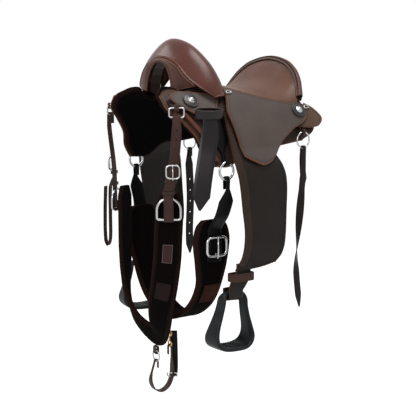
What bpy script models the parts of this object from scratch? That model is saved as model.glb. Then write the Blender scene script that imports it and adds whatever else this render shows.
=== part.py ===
"""Stock saddle with stirrups, girth and breast collar, as separate pieces at real size.

Metres, +Z up. The horse faces -Y, and its left side is +X. The origin lies on the horse's back, between
the two panels. Leather that lies on the horse's side is a sheet on one flank surface, at a lift above it.
Pieces of the left side are modelled, and the right side's are their mirror images.
"""

import math

import bmesh
import bpy
import numpy as np
from mathutils import Matrix, Vector

# The flank: a section that starts beside the ridge and steepens down the horse's side
RIDGE_X = 0.050
RIDGE_Z = 0.120
RIDGE_SLOPE = math.radians(14)
FLANK_SLOPE = math.radians(80)
SLOPE_LENGTH = 0.11
FLARE = 0.06  # how much wider the horse gets per metre, from front to rear
FRONT_Y = -0.245

# Leather and its layers, from the horse outwards
PANEL_THICK = 0.0152
SKIRT_THICK = 0.0045
BAR_THICK = 0.011
JOCKEY_THICK = 0.004
SEAT_THICK = 0.0035
LAYER_GAP = 0.0009
FENDER_ROOM = 0.0055  # what the seat jockey stands off its seat, for the fender to swing under it
SKIRT_LIFT = PANEL_THICK + 2 * LAYER_GAP
SKIRT_TOP = SKIRT_LIFT + SKIRT_THICK
BAR_LIFT = SKIRT_TOP + LAYER_GAP
UNDER_JOCKEY_LIFT = BAR_LIFT + BAR_THICK + LAYER_GAP
SEAT_LIFT = UNDER_JOCKEY_LIFT
JOCKEY_EDGE_LIFT = SEAT_LIFT + SEAT_THICK + LAYER_GAP
JOCKEY_LIFT = JOCKEY_EDGE_LIFT + FENDER_ROOM
JOCKEY_FLARE = 0.011  # what its lower edge stands off beyond that

# Gullet arch and swell
ARCH_HALF_WIDTH = 0.064
ARCH_BASE_Z = 0.115
ARCH_RISE = 0.081
ARCH_Y = -0.163
BAND_THICK = 0.0035
SWELL_THICK = 0.004

# Seat and cantle
SEAT_FRONT_Y = -0.052
CANTLE_Y = 0.219
CANTLE_Z = 0.204
CANTLE_ROLL = 0.0075
CANTLE_LAP = 0.001  # how far the cantle's cover reaches over the seat's edge
CANTLE_COVER_PART = 0.88
CANTLE_COVER_LOW = 0.101

# Fender, hobble and stirrup
FENDER_THICK = 0.0045
FENDER_AXIS_Y = -0.045
FENDER_AXIS_Z = 0.040
FENDER_LOW_LIFT = 0.0465
FAR_FENDER_BACK = 4.0  # degrees that the right fender hangs further back than the left
STIRRUP_BAR = Vector((0.258, -0.101, -0.415))
STIRRUP_YAW = math.radians(5)
STIRRUP_LEAN = math.radians(5)
STIRRUP_BAR_RADIUS = 0.008
STIRRUP_HEIGHT = 0.141
STIRRUP_HALF_WIDTH = 0.062
TREAD_DEPTH = 0.064
TREAD_THICK = 0.012
STRAP_WIDTH = 0.048
STRAP_THICK = 0.006
HOBBLE_HEIGHT = 0.022
HOBBLE_DEPTH = 0.027
HOBBLE_WIDTH = 0.066
HOBBLE_THICK = 0.003

# Breast collar
FACING = math.radians(55)  # the collar's straps face this far round from the front
FRONT_RING = Vector((0.175, -0.2210, 0.0600))
FRONT_RING_WIDTH = 0.038
FRONT_RING_HEIGHT = 0.024
SMALL_WIRE = 0.0022
ADJUSTER_WIDTH = 0.026
ADJUSTER_FOLD_WIDTH = 0.022
ADJUSTER_THICK = 0.0032
ADJUSTER_BUCKLE_Z = -0.093
ADJUSTER_BUCKLE_SIZE = 0.034
SPARE_WIDTH = 0.020
# The spare length's loop: out from the strap, height
SPARE_LOOP = [(-0.0043, -0.120), (-0.003, -0.128), (0.006, -0.145), (0.012, -0.165), (0.013, -0.240),
              (0.014, -0.315), (0.021, -0.334), (0.029, -0.318), (0.030, -0.240), (0.027, -0.160)]
COLLAR_RING = Vector((0.139, -0.2235, -0.193))
COLLAR_RING_WIDTH = 0.062
COLLAR_RING_HEIGHT = 0.056
COLLAR_WIRE = 0.0032
PAD_WIDTH = 0.076
PAD_THICK = 0.015
PAD_PATH = [(0.1195, -0.2090, -0.155), (0.1178, -0.2095, -0.222), (0.1155, -0.2108, -0.270),
            (0.1125, -0.2125, -0.331), (0.104, -0.217, -0.402), (0.090, -0.219, -0.464),
            (0.064, -0.208, -0.526), (0.032, -0.191, -0.560)]
PAD_MIDDLE = (0.0, -0.184, -0.571)
CENTRE_AXIS = Vector((0, -0.1805, -0.616))
CENTRE_RING_RADIUS = 0.017
TIE_WIDTH = 0.022
TIE_FOLD_WIDTH = 0.012
TIE_THICK = 0.003
TIE_LOOP = [(-0.199, -0.695), (-0.196, -0.717), (-0.183, -0.734), (-0.163, -0.740), (-0.141, -0.728),
            (-0.128, -0.698)]
SNAP_EYE = Vector((0, -0.134, -0.606))
SNAP_EYE_RADIUS = 0.0085

# Girth and latigos
RIGGING_RING_Y = -0.104
RIGGING_RING_Z = -0.092
RIGGING_RING_RADIUS = 0.022
RIGGING_WIRE = 0.0035
LATIGO_WIDTH = 0.046
LATIGO_THICK = 0.0035
RING_WRAP_WIDTH = 0.012
KEEPER_CENTRE = Vector((0.2085, -0.143, 0.0574))
KEEPER_ALONG = Vector((0.30, 0.954, 0)).normalized()
KEEPER_OUT = Vector((0.90, -0.283, -0.33)).normalized()
KEEPER_SIZE = (0.024, 0.036, 0.0125)  # height, half length, half depth
TAIL_AXIS = Vector((0.2108, -0.1435, 0.0422))
TAIL_PATH = [(0.2165, -0.1440, 0.020), (0.227, -0.1620, -0.043), (0.233, -0.1780, -0.109),
             (0.234, -0.1905, -0.189)]
GIRTH_THICK = 0.014
GIRTH_OUTER_X = 0.187
GIRTH_Y = -0.112
GIRTH_PATH = [(GIRTH_OUTER_X, -0.225), (0.1855, -0.290), (0.180, -0.357), (0.165, -0.415), (0.132, -0.466),
              (0.090, -0.500), (0.045, -0.521), (0.0, -0.528)]
# Half the girth's length as a part of the whole, width there
GIRTH_WIDTHS = [(0.0, 0.066), (0.022, 0.100), (0.07, 0.118), (0.15, 0.104), (0.24, 0.084), (0.5, 0.090)]
GIRTH_BUCKLE_Z = -0.295
GIRTH_BUCKLE_WIDTH = 0.062
GIRTH_BUCKLE_HEIGHT = 0.050

# Rear rings and their straps
REAR_RINGS = ((0.162, -0.020), (0.094, -0.047))  # left and right: how far back, height
REAR_RING_RADIUS = 0.022
REAR_STRAP_WIDTH = 0.022
REAR_STRAP_LENGTH = 0.45
BILLET_WIDTH = 0.028
BILLET_LENGTH = 0.334

# Fit
CLEAR = 0.0006
FOLD_SLOT = (-0.0036, 0.0036)  # a leather fold's slot, and the whole fold, front to back
FOLD_DEPTH = (-0.0062, 0.0062)
FAR_SIDE = Matrix.Scale(-1, 4, (1, 0, 0))
SIDEWAYS = Vector((1, 0, 0))
BACKWARDS = Vector((0, 1, 0))
UP = Vector((0, 0, 1))
OUT = Vector((math.sin(FACING), -math.cos(FACING), 0))
WIDE = Vector((math.cos(FACING), math.sin(FACING), 0))

SLOPE_STATIONS = np.linspace(0.0, 0.6, 601)
SLOPES = RIDGE_SLOPE + (FLANK_SLOPE - RIDGE_SLOPE) * (1 - np.exp(-SLOPE_STATIONS / SLOPE_LENGTH))
STATION_STEP = SLOPE_STATIONS[1]
FLANK_X = RIDGE_X + np.cumsum(np.cos(SLOPES)) * STATION_STEP
FLANK_Z = RIDGE_Z - np.cumsum(np.sin(SLOPES)) * STATION_STEP


def clear_scene():
    for obj in list(bpy.data.objects):
        bpy.data.objects.remove(obj, do_unlink=True)


def collection(name):
    made = bpy.data.collections.new(name)
    bpy.context.scene.collection.children.link(made)
    return made


def material(name, colour, roughness, metallic=0.0):
    made = bpy.data.materials.new(name)
    made.use_nodes = True
    shader = made.node_tree.nodes["Principled BSDF"]
    shader.inputs["Base Color"].default_value = (*colour, 1)
    shader.inputs["Roughness"].default_value = roughness
    shader.inputs["Metallic"].default_value = metallic
    return made


clear_scene()
SADDLE = collection("stock_saddle")
TOOLS = collection("cutters")

SWELL_LEATHER = material("swell_leather", (0.105, 0.042, 0.032), 0.35)
SEAT_LEATHER = material("seat_leather", (0.20, 0.105, 0.082), 0.45)
JOCKEY_LEATHER = material("jockey_leather", (0.10, 0.083, 0.072), 0.6)
BAND_LEATHER = material("band_leather", (0.085, 0.04, 0.032), 0.5)
FENDER_LEATHER = material("fender_leather", (0.019, 0.016, 0.013), 0.55)
STRAP_LEATHER = material("strap_leather", (0.06, 0.032, 0.023), 0.6)
LATIGO_LEATHER = material("latigo_leather", (0.026, 0.019, 0.022), 0.4)
FELT = material("felt", (0.006, 0.005, 0.005), 0.95)
COMPOSITE = material("composite", (0.02, 0.022, 0.025), 0.5)
CHROME = material("chrome", (0.75, 0.75, 0.76), 0.15, 1.0)
BRASS = material("brass", (0.70, 0.48, 0.18), 0.3, 1.0)


# Curves and surfaces
def flank_normal(z, lift):
    """The outward direction, in the section's plane, at height z of the layer at that lift."""
    heights = FLANK_Z + lift * np.cos(SLOPES)
    slope = float(np.interp(-z, -heights, SLOPES))
    return Vector((math.sin(slope), 0, math.cos(slope)))


def flank(y, z, lift):
    """The point at height z on the layer that lies that lift above the flank."""
    heights = FLANK_Z + lift * np.cos(SLOPES)
    x = float(np.interp(-z, -heights, FLANK_X + lift * np.sin(SLOPES)))
    return Vector((x + FLARE * (y - FRONT_Y), y, z))


def flank_height(x, y, lift):
    """The height of the layer at that lift, at x and y on the left side."""
    across = x - FLARE * (y - FRONT_Y)
    return float(np.interp(across, FLANK_X + lift * np.sin(SLOPES), FLANK_Z + lift * np.cos(SLOPES)))


CENTRE_RING = CENTRE_AXIS - UP * CENTRE_RING_RADIUS
RING_FOLD = RIGGING_WIRE + LATIGO_THICK / 2 + 4 * CLEAR
LATIGO_LIFT = SKIRT_TOP + LAYER_GAP + LATIGO_THICK / 2
RIGGING_RING = flank(RIGGING_RING_Y, RIGGING_RING_Z + RIGGING_RING_RADIUS, LATIGO_LIFT)
RIGGING_RING += SIDEWAYS * RING_FOLD * 1.1 - UP * RIGGING_RING_RADIUS
GIRTH_BUCKLE = Vector((GIRTH_OUTER_X + LAYER_GAP + LATIGO_THICK + 0.0090, GIRTH_Y, GIRTH_BUCKLE_Z))
REAR_RING_OFF = 0.0170


def through(points):
    """A function of 0 to 1 that runs along a smooth curve through the points, spaced by chord length."""
    given = np.array([tuple(p) for p in points], float)
    chords = np.linalg.norm(np.diff(given, axis=0), axis=1)
    stations = np.concatenate([[0], np.cumsum(chords)]) / chords.sum()
    slopes = np.empty_like(given)
    slopes[1:-1] = (given[2:] - given[:-2]) / (stations[2:] - stations[:-2])[:, None]
    slopes[0] = (given[1] - given[0]) / stations[1]
    slopes[-1] = (given[-1] - given[-2]) / (1 - stations[-2])

    def at(t):
        t = min(max(t, 0.0), 1.0)
        i = int(np.clip(np.searchsorted(stations, t, side="right") - 1, 0, len(stations) - 2))
        span = stations[i + 1] - stations[i]
        f = (t - stations[i]) / span
        start = (1 + 2 * f) * (1 - f) ** 2 * given[i] + f * (1 - f) ** 2 * span * slopes[i]
        end = f * f * (3 - 2 * f) * given[i + 1] + f * f * (f - 1) * span * slopes[i + 1]
        return Vector(start + end)

    at.stations = stations
    at.length = chords.sum()
    return at


def rows_along(path, longest):
    """Where along a path its rows lie: at each of its points, and between them at most longest apart."""
    found = [0.0]
    for start, end in zip(path.stations, path.stations[1:]):
        count = max(1, math.ceil((end - start) * path.length / longest))
        found += [start + (end - start) * (i + 1) / count for i in range(count)]
    return found


def patch(front, rear, top, bottom):
    """A Coons patch between four edges that meet at the corners: u runs front to rear, v top to bottom."""
    front, rear, top, bottom = (through(edge) for edge in (front, rear, top, bottom))

    def at(u, v):
        across = top(u).lerp(bottom(u), v)
        down = front(v).lerp(rear(v), u)
        corners = top(0).lerp(top(1), u).lerp(bottom(0).lerp(bottom(1), u), v)
        return across + down - corners

    return at


def mesh_object(name, mesh, look):
    mesh.materials.append(look)
    obj = bpy.data.objects.new(name, mesh)
    SADDLE.objects.link(obj)
    return obj


def sheet(name, columns, rows, place, thickness, look, inside=None):
    """A grid whose points are place(u, v), thickened on the side away from the point or plane inside."""
    grid = bmesh.new()
    bmesh.ops.create_grid(grid, x_segments=columns, y_segments=rows, size=0.5)
    for vertex in grid.verts:
        vertex.co = place(vertex.co.x + 0.5, vertex.co.y + 0.5)
    grid.normal_update()
    outward = sum(
        face.normal.dot(face.calc_center_median() - inside(face.calc_center_median())) * face.calc_area()
        for face in grid.faces
    )
    if outward < 0:
        bmesh.ops.reverse_faces(grid, faces=grid.faces)
    mesh = bpy.data.meshes.new(name)
    grid.to_mesh(mesh)
    grid.free()
    obj = mesh_object(name, mesh, look)
    solid = obj.modifiers.new("thickness", "SOLIDIFY")
    solid.thickness = thickness
    solid.offset = 1
    solid.use_even_offset = True
    return obj


def middle_plane(point):
    return Vector((0, point.y, point.z - 0.05))


def far_copy(obj, name):
    """The mirror image of a left piece, for the right side."""
    mesh = obj.data.copy()
    mesh.name = name
    mesh.transform(obj.matrix_world)
    mesh.transform(FAR_SIDE)
    mesh.flip_normals()
    copy = bpy.data.objects.new(name, mesh)
    SADDLE.objects.link(copy)
    for modifier in obj.modifiers:
        if modifier.type != "SOLIDIFY":
            continue
        solid = copy.modifiers.new("thickness", "SOLIDIFY")
        solid.thickness = modifier.thickness
        solid.offset = modifier.offset
        solid.use_even_offset = modifier.use_even_offset
    return copy


def both(build, name, *args):
    """The left piece and its mirror image."""
    left = build(name + "_left", *args)
    return left, far_copy(left, name + "_right")


def far_side(build, name, *args):
    """The mirror image alone, of a piece that the left side lacks."""
    near = build("near", *args)
    made = far_copy(near, name)
    bpy.data.objects.remove(near, do_unlink=True)
    return made


def turned_about(objects, place, axis, degrees):
    """Turns pieces about an axis through place: one side hangs a little differently from the other."""
    turn = Matrix.Rotation(math.radians(degrees), 4, axis)
    turn = Matrix.Translation(place) @ turn @ Matrix.Translation(-place)
    for obj in objects:
        obj.data.transform(turn)


def to_mesh(obj):
    """The object as a plain mesh in world space, with its caps welded and its modifiers applied."""
    bpy.context.view_layer.update()
    graph = bpy.context.evaluated_depsgraph_get()
    mesh = bpy.data.meshes.new_from_object(obj.evaluated_get(graph))
    mesh.transform(obj.matrix_world)
    welded = bmesh.new()
    welded.from_mesh(mesh)
    bmesh.ops.remove_doubles(welded, verts=welded.verts, dist=1e-6)
    bmesh.ops.recalc_face_normals(welded, faces=welded.faces)
    welded.to_mesh(mesh)
    welded.free()
    name = obj.name
    look = obj.data.materials[0]
    bpy.data.objects.remove(obj, do_unlink=True)
    mesh.materials.clear()
    return mesh_object(name, mesh, look)


def joined(obj, other, operation="UNION"):
    """obj after a Boolean with other, which is used up."""
    obj = to_mesh(obj)
    other = to_mesh(other)
    SADDLE.objects.unlink(other)
    TOOLS.objects.link(other)
    other.hide_render = True
    other.display_type = "WIRE"
    cut = obj.modifiers.new("join", "BOOLEAN")
    cut.operation = operation
    cut.object = other
    obj = to_mesh(obj)
    bpy.data.objects.remove(other, do_unlink=True)
    return obj


def ribbon(name, points, side, width, thickness, look, longest=0.03):
    """A strap whose middle runs along points. side(t) is its width direction and width(t) its width."""
    path = through(points)
    rows = rows_along(path, longest)

    def place(u, v):
        t = rows[round(v * (len(rows) - 1))]
        return path(t) + side(t) * width(t) * (u - 0.5)

    strap = sheet(name, 1, len(rows) - 1, place, thickness, look, lambda p: p)
    strap.modifiers["thickness"].offset = 0
    return to_mesh(strap)


def faced_band(name, points, normals, width, thickness, look, steps, columns=1):
    """A band along points whose face turns with the normals: its width runs square to both."""
    path = through(points)
    turn = through([Vector(p) + Vector((0, 0, 1e-4 * i)) for i, p in enumerate(normals)])
    nudge = 1e-3

    def place(u, v):
        along = path(min(v + nudge, 1)) - path(max(v - nudge, 0))
        across = turn(v).cross(along).normalized()
        return path(v) + across * width(v) * (u - 0.5)

    obj = sheet(name, columns, steps, place, thickness, look, lambda p: Vector((0, 0.3, -0.2)))
    return obj


def wire(name, points, radius, look, closed=True, sides=2, matrix=Matrix()):
    """A round wire along straight steps between points."""
    curve = bpy.data.curves.new(name, "CURVE")
    curve.dimensions = "3D"
    curve.bevel_depth = radius
    curve.bevel_resolution = sides
    curve.use_fill_caps = True
    spline = curve.splines.new("POLY")
    spline.points.add(len(points) - 1)
    for target, point in zip(spline.points, points):
        target.co = (*point, 1)
    spline.use_cyclic_u = closed
    curve.materials.append(look)
    obj = bpy.data.objects.new(name, curve)
    SADDLE.objects.link(obj)
    obj.matrix_world = matrix
    return to_mesh(obj)


def frame_at(origin, side, normal):
    """Local axes: X along side, Y along normal, Z square to both."""
    side = side.normalized()
    normal = normal.normalized()
    up = side.cross(normal)
    turn = Matrix((side, normal, up)).transposed().to_4x4()
    return Matrix.Translation(origin) @ turn


def arc(radius, start, end, count, centre=(0, 0)):
    """Points in the local X-Z plane, angles in degrees from X towards Z."""
    return [
        (
            centre[0] + radius * math.cos(math.radians(a)),
            0,
            centre[1] + radius * math.sin(math.radians(a)),
        )
        for a in np.linspace(start, end, count)
    ]


def round_ring(name, matrix, radius, tube, look, count=20):
    return wire(name, arc(radius, 0, 360 * (count - 1) / count, count), tube, look, matrix=matrix)


def slotted_block(name, matrix, hole, size, width, look):
    """A leather fold seen from its end: a rounded block of size around a slot, width along local X."""
    curve = bpy.data.curves.new(name, "CURVE")
    curve.dimensions = "2D"
    curve.fill_mode = "BOTH"
    curve.extrude = width / 2
    for (low, high), depth, rounding in ((size[0], size[1], 0.35), (hole[0], hole[1], 0.9)):
        spline = curve.splines.new("POLY")
        corners = rounded_box(low, high, -depth / 2, depth / 2, rounding)
        spline.points.add(len(corners) - 1)
        for target, (a, b) in zip(spline.points, corners):
            target.co = (a, b, 0, 1)
        spline.use_cyclic_u = True
    curve.materials.append(look)
    obj = bpy.data.objects.new(name, curve)
    SADDLE.objects.link(obj)
    # The outline's X becomes the local normal, its Y the local Z, and its depth the local X
    obj.matrix_world = matrix @ Matrix(((0, 0, 1, 0), (1, 0, 0, 0), (0, 1, 0, 0), (0, 0, 0, 1)))
    return to_mesh(obj)


def rounded_box(left, right, low, high, rounding):
    """The corners of a box in its plane, each cut by an arc of rounding times half the shorter side."""
    radius = rounding * min(right - left, high - low) / 2
    found = []
    for centre_x, centre_z, start in (
        (right - radius, high - radius, 0),
        (left + radius, high - radius, 90),
        (left + radius, low + radius, 180),
        (right - radius, low + radius, 270),
    ):
        for step in range(4):
            angle = math.radians(start + 30 * step)
            found.append((centre_x + radius * math.cos(angle), centre_z + radius * math.sin(angle)))
    return found


def loft(name, rings, look, cyclic=False):
    """Sections of equal count joined in order, and closed by caps or, if cyclic, onto the first."""
    shape = bmesh.new()
    made = [[shape.verts.new(p) for p in ring] for ring in rings]
    pairs = list(zip(made, made[1:]))
    if cyclic:
        pairs.append((made[-1], made[0]))
    else:
        shape.faces.new(made[0])
        shape.faces.new(made[-1])
    for a, b in pairs:
        for i in range(len(a)):
            j = (i + 1) % len(a)
            shape.faces.new((a[i], a[j], b[j], b[i]))
    bmesh.ops.recalc_face_normals(shape, faces=shape.faces)
    mesh = bpy.data.meshes.new(name)
    shape.to_mesh(mesh)
    shape.free()
    return mesh_object(name, mesh, look)


def turned(name, profile, matrix, look, steps=16):
    """A profile of (radius, height), from the axis at the top to the axis at the bottom, turned about Z."""
    shape = bmesh.new()
    points = [shape.verts.new((r, 0, z)) for r, z in profile]
    for a, b in zip(points, points[1:]):
        shape.edges.new((a, b))
    mesh = bpy.data.meshes.new(name)
    shape.to_mesh(mesh)
    shape.free()
    obj = mesh_object(name, mesh, look)
    screw = obj.modifiers.new("turn", "SCREW")
    screw.steps = steps
    screw.render_steps = steps
    screw.use_merge_vertices = True
    screw.merge_threshold = 1e-5
    obj.matrix_world = matrix
    return to_mesh(obj)


# Saddle body
def arch(angle, grow=0.0):
    """The gullet arch at an angle from the left foot, grown outwards."""
    half = ARCH_HALF_WIDTH + grow
    return Vector((half * math.cos(angle), ARCH_Y, ARCH_BASE_Z + (ARCH_RISE + grow) * math.sin(angle)))


SWELL_EDGE = through([(0.172, -0.095, 0.098), (0.150, -0.128, 0.122), (0.118, -0.148, 0.148),
                      (0.075, -0.156, 0.186), (0.0, -0.158, 0.2055)])
SWELL_CROWN = through([(0.176, -0.082, 0.101), (0.150, -0.088, 0.150), (0.115, -0.096, 0.196),
                       (0.062, -0.108, 0.238), (0.0, -0.116, 0.254)])
SWELL_BACK = through([(0.168, -0.068, 0.101), (0.135, -0.060, 0.134), (0.100, -0.062, 0.158),
                      (0.050, -0.072, 0.188), (0.0, -0.076, 0.198)])


def mirrored_x(point, positive):
    return Vector((point.x if positive else -point.x, point.y, point.z))


def swell_point(u, v):
    """u runs left foot, over the top, right foot; v from the front edge over the crown to the back."""
    t = 1 - abs(2 * u - 1)
    edge, crown, back = SWELL_EDGE(t), SWELL_CROWN(t), SWELL_BACK(t)
    bulge = crown - edge.lerp(back, 0.5)
    point = edge.lerp(back, v) + bulge * math.sin(math.pi * v) ** 0.75
    return mirrored_x(point, u < 0.5)


def swell_cover():
    return sheet(
        "swell_cover", 16, 8, swell_point, SWELL_THICK, SWELL_LEATHER, lambda p: Vector((0, -0.11, 0.10))
    )


def band_point(u, v):
    """From the arch's lip (v 0) out to the swell's front edge (v 1)."""
    t = 1 - abs(2 * u - 1)
    lip = arch(t * math.pi / 2)
    outer = SWELL_EDGE(0.28 + 0.72 * t) + Vector((0, -0.002, -0.0045))
    bulge = Vector((0, -0.003, 0)) * math.sin(math.pi * v)
    return mirrored_x(lip.lerp(outer, v) + bulge, u < 0.5)


def gullet_band():
    return sheet(
        "gullet_band", 16, 2, band_point, BAND_THICK, BAND_LEATHER, lambda p: p + Vector((0, 1, 0))
    )


SEAT_CENTRE = through([(0, SEAT_FRONT_Y, 0.142), (0, 0.0, 0.131), (0, 0.06, 0.121), (0, 0.12, 0.120),
                       (0, 0.17, 0.143), (0, 0.203, 0.178), (0, CANTLE_Y, CANTLE_Z)])
SEAT_SIDE_Y = through([(SEAT_FRONT_Y, 0), (0.0, 0.2), (0.07, 0.5), (0.13, 0.75), (0.170, 1.0)])


def seat_side(t):
    """The seat's edge, which lies on the flank under the seat jockey."""
    y = SEAT_SIDE_Y(t).x
    z = 0.116 - 0.30 * (y - SEAT_FRONT_Y) + 0.30 * max(y - 0.10, 0)
    return flank(y, z, SEAT_LIFT)


CANTLE_RIM = through([seat_side(1), (0.178, 0.179, 0.094), (0.163, 0.189, 0.117), (0.145, 0.199, 0.143),
                      (0.119, 0.207, 0.168), (0.076, 0.214, 0.191), (0.0, CANTLE_Y, CANTLE_Z)])


def rim_point(u):
    """The cantle's rim: u runs from the left foot over the top to the right foot."""
    return mirrored_x(CANTLE_RIM(1 - abs(2 * u - 1)), u < 0.5)


def rim_outward(u):
    """The direction, square to the rim in its own upright plane, that points out of the cantle."""
    along = rim_point(min(u + 0.02, 1)) - rim_point(max(u - 0.02, 0))
    return Vector((along.z, 0, -along.x)).normalized()


def seat_point(u, v):
    """u runs left to right, v front to cantle rim: a dish that turns into the rim near its back."""
    def dish(row):
        side = seat_side(row)
        centre = SEAT_CENTRE(row)
        sharp = 1.6 - 0.98 * row
        lift = max(math.sin(math.pi * u), 0) ** sharp
        return Vector((
            math.cos(math.pi * u) * side.x,
            side.y + (centre.y - side.y) * lift,
            side.z + (centre.z - side.z) * lift,
        ))

    into_rim = max((v - 0.45) / 0.55, 0) ** 2
    return dish(v) + (rim_point(u) - dish(1)) * into_rim


def seat_cover():
    return sheet(
        "seat_cover", 14, 10, seat_point, SEAT_THICK, SEAT_LEATHER, lambda p: Vector((0, 0.14, -0.4))
    )


def cantle_point(u, v):
    """u runs along the rim; v rolls over the board's top and down its back."""
    u = 0.5 + (u - 0.5) * CANTLE_COVER_PART
    rim = rim_point(u)
    out = rim_outward(u)
    past_seat = CLEAR + SEAT_THICK
    if v < 0.5:
        turn = math.pi * v / 0.5
        back = CANTLE_ROLL * (1 - math.cos(turn)) - CANTLE_LAP
        return rim + out * (past_seat + CANTLE_ROLL * math.sin(turn)) + BACKWARDS * back
    drop = (2 * v - 1) * max(rim.z - CANTLE_COVER_LOW, 0.004)
    return rim + BACKWARDS * (2 * CANTLE_ROLL - CANTLE_LAP) + out * past_seat * 2 * (1 - v) - UP * drop


def cantle_cover():
    return sheet(
        "cantle_cover", 14, 8, cantle_point, SEAT_THICK, SEAT_LEATHER,
        lambda p: Vector((p.x * 0.9, CANTLE_Y - 0.005, p.z * 0.9 - 0.02)),
    )


def flank_sheet(name, edges, columns, rows, lift, thickness, look):
    """A leather piece on the flank. Its edges are (y, z) points, and lift is a height or a function of z."""
    at = patch(*edges)

    def place(u, v):
        y, z = at(u, v)
        return flank(y, z, lift(z) if callable(lift) else lift)

    return sheet(name, columns, rows, place, thickness, look, middle_plane)


SEAT_JOCKEY = (
    ((-0.058, 0.122), (-0.062, 0.095), (-0.074, 0.060), (-0.068, 0.02), (-0.062, -0.03), (-0.058, -0.056)),
    ((0.170, 0.076), (0.183, 0.054), (0.170, 0.034), (0.125, 0.012), (0.080, -0.018), (0.044, -0.054)),
    ((-0.058, 0.122), (-0.03, 0.117), (0.051, 0.096), (0.132, 0.082), (0.170, 0.076)),
    ((-0.058, -0.056), (-0.030, -0.070), (-0.006, -0.078), (0.020, -0.071), (0.044, -0.054)),
)
FRONT_JOCKEY = (
    ((-0.190, 0.112), (-0.214, 0.106), (-0.222, 0.094), (-0.213, 0.081)),
    ((-0.074, 0.102), (-0.092, 0.074), (-0.112, 0.040)),
    ((-0.190, 0.112), (-0.14, 0.108), (-0.074, 0.102)),
    ((-0.213, 0.081), (-0.18, 0.062), (-0.148, 0.047), (-0.112, 0.040)),
)
REAR_JOCKEY = (
    ((0.118, 0.060), (0.117, 0.045), (0.120, 0.026)),
    ((0.198, 0.078), (0.222, 0.064), (0.240, 0.038), (0.222, 0.018), (0.195, 0.013)),
    ((0.118, 0.060), (0.158, 0.060), (0.183, 0.070), (0.198, 0.078)),
    ((0.120, 0.026), (0.155, 0.016), (0.195, 0.013)),
)
SKIRT = (
    ((-0.238, 0.098), (-0.234, 0.068), (-0.205, 0.038), (-0.170, -0.005), (-0.158, -0.045), (-0.134, -0.080)),
    ((0.205, 0.076), (0.226, 0.05), (0.213, 0.005), (0.165, -0.022)),
    ((-0.238, 0.098), (-0.214, 0.113), (-0.182, 0.114), (-0.152, 0.098), (-0.10, 0.094), (-0.02, 0.090),
     (0.05, 0.085), (0.13, 0.080), (0.205, 0.076)),
    ((-0.134, -0.080), (-0.085, -0.080), (-0.030, -0.045), (0.06, -0.036), (0.165, -0.022)),
)


def jockey_lift(z):
    """The seat jockey stands off a little more at its lower edge, where the fender swings under it."""
    down = min(max((-0.030 - z) / 0.05, 0), 1)
    return JOCKEY_LIFT + JOCKEY_FLARE * down * down * (3 - 2 * down)


def inset(edges, amount):
    """The same outline, drawn in towards its middle by about amount."""
    centre = sum((Vector(edge[len(edge) // 2]) for edge in edges), Vector((0, 0))) / len(edges)
    return tuple(
        tuple(tuple(Vector(p) + (centre - Vector(p)).normalized() * amount) for p in edge) for edge in edges
    )


FORK_FILL = 0.68  # how far the fork fills the space from the arch out to the swell's edge
FORK_FOOT = 0.003
TREE_BAR = (
    ((-0.165, 0.108), (-0.166, 0.088), (-0.155, 0.066)),
    ((0.192, 0.079), (0.192, 0.064), (0.175, 0.050)),
    ((-0.165, 0.108), (-0.1, 0.104), (0.0, 0.084), (0.10, 0.070), (0.192, 0.079)),
    ((-0.155, 0.066), (-0.05, 0.058), (0.06, 0.052), (0.175, 0.050)),
)
BOARD_PART = 0.88
BOARD_BACK = 0.0022
BOARD_THICK = 0.009
BOARD_ARCH = 0.095  # the board arches over the horse's spine inside this distance from the middle


def fork_ring(u):
    """The fork's section: u runs from the left foot over the arch to the right foot."""
    t = 1 - abs(2 * u - 1)
    inner = arch(t * math.pi / 2, 0.006)
    edge = SWELL_EDGE(t)
    outer = inner.lerp(edge, FORK_FILL)
    foot = UP * FORK_FOOT * (1 - t) ** 4
    front = max(ARCH_Y, edge.y) + 0.016
    back = front + 0.030
    ring = ((inner, ARCH_Y + 0.013), (outer, front), (outer, back), (inner, ARCH_Y + 0.045))
    return [mirrored_x(Vector((p.x, y, p.z)) - foot, u < 0.5) for p, y in ring]


def saddle_tree():
    """The fork, the two bars and the cantle board, moulded as one frame."""
    tree = loft("saddle_tree", [fork_ring(step / 12) for step in range(13)], COMPOSITE)
    bar, far_bar = both(flank_sheet, "tree_bar", TREE_BAR, 9, 3, BAR_LIFT, BAR_THICK, COMPOSITE)
    tree = joined(tree, bar)
    tree = joined(tree, far_bar)

    def board_point(u, v):
        u = 0.5 + (u - 0.5) * BOARD_PART
        rim = rim_point(u)
        top = rim.z - 0.004
        low = min(flank_height(max(abs(rim.x), BOARD_ARCH), rim.y, BAR_LIFT + BAR_THICK / 2), top - 0.004)
        return Vector((rim.x * 0.985, rim.y + BOARD_BACK, top - (top - low) * v))

    board = sheet("board", 12, 2, board_point, BOARD_THICK, COMPOSITE, lambda p: p - BACKWARDS)
    return joined(tree, board)


def concho(name, y, z, lift):
    """A domed metal concho on its leather rosette, square to the leather that it lies on."""
    normal = flank_normal(z, lift)
    seat = flank(y, z, lift) + normal * (LAYER_GAP + CLEAR)
    profile = ((0.0, 0.0095), (0.004, 0.0085), (0.0075, 0.0055), (0.009, 0.0035), (0.021, 0.0028),
               (0.0225, 0.0014), (0.0215, 0.0), (0.0, 0.0))
    side = Vector((0, 1, 0))
    turn = Matrix((side, normal.cross(side), normal)).transposed().to_4x4()
    return turned(name, profile, Matrix.Translation(seat) @ turn, CHROME, 14)


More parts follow.
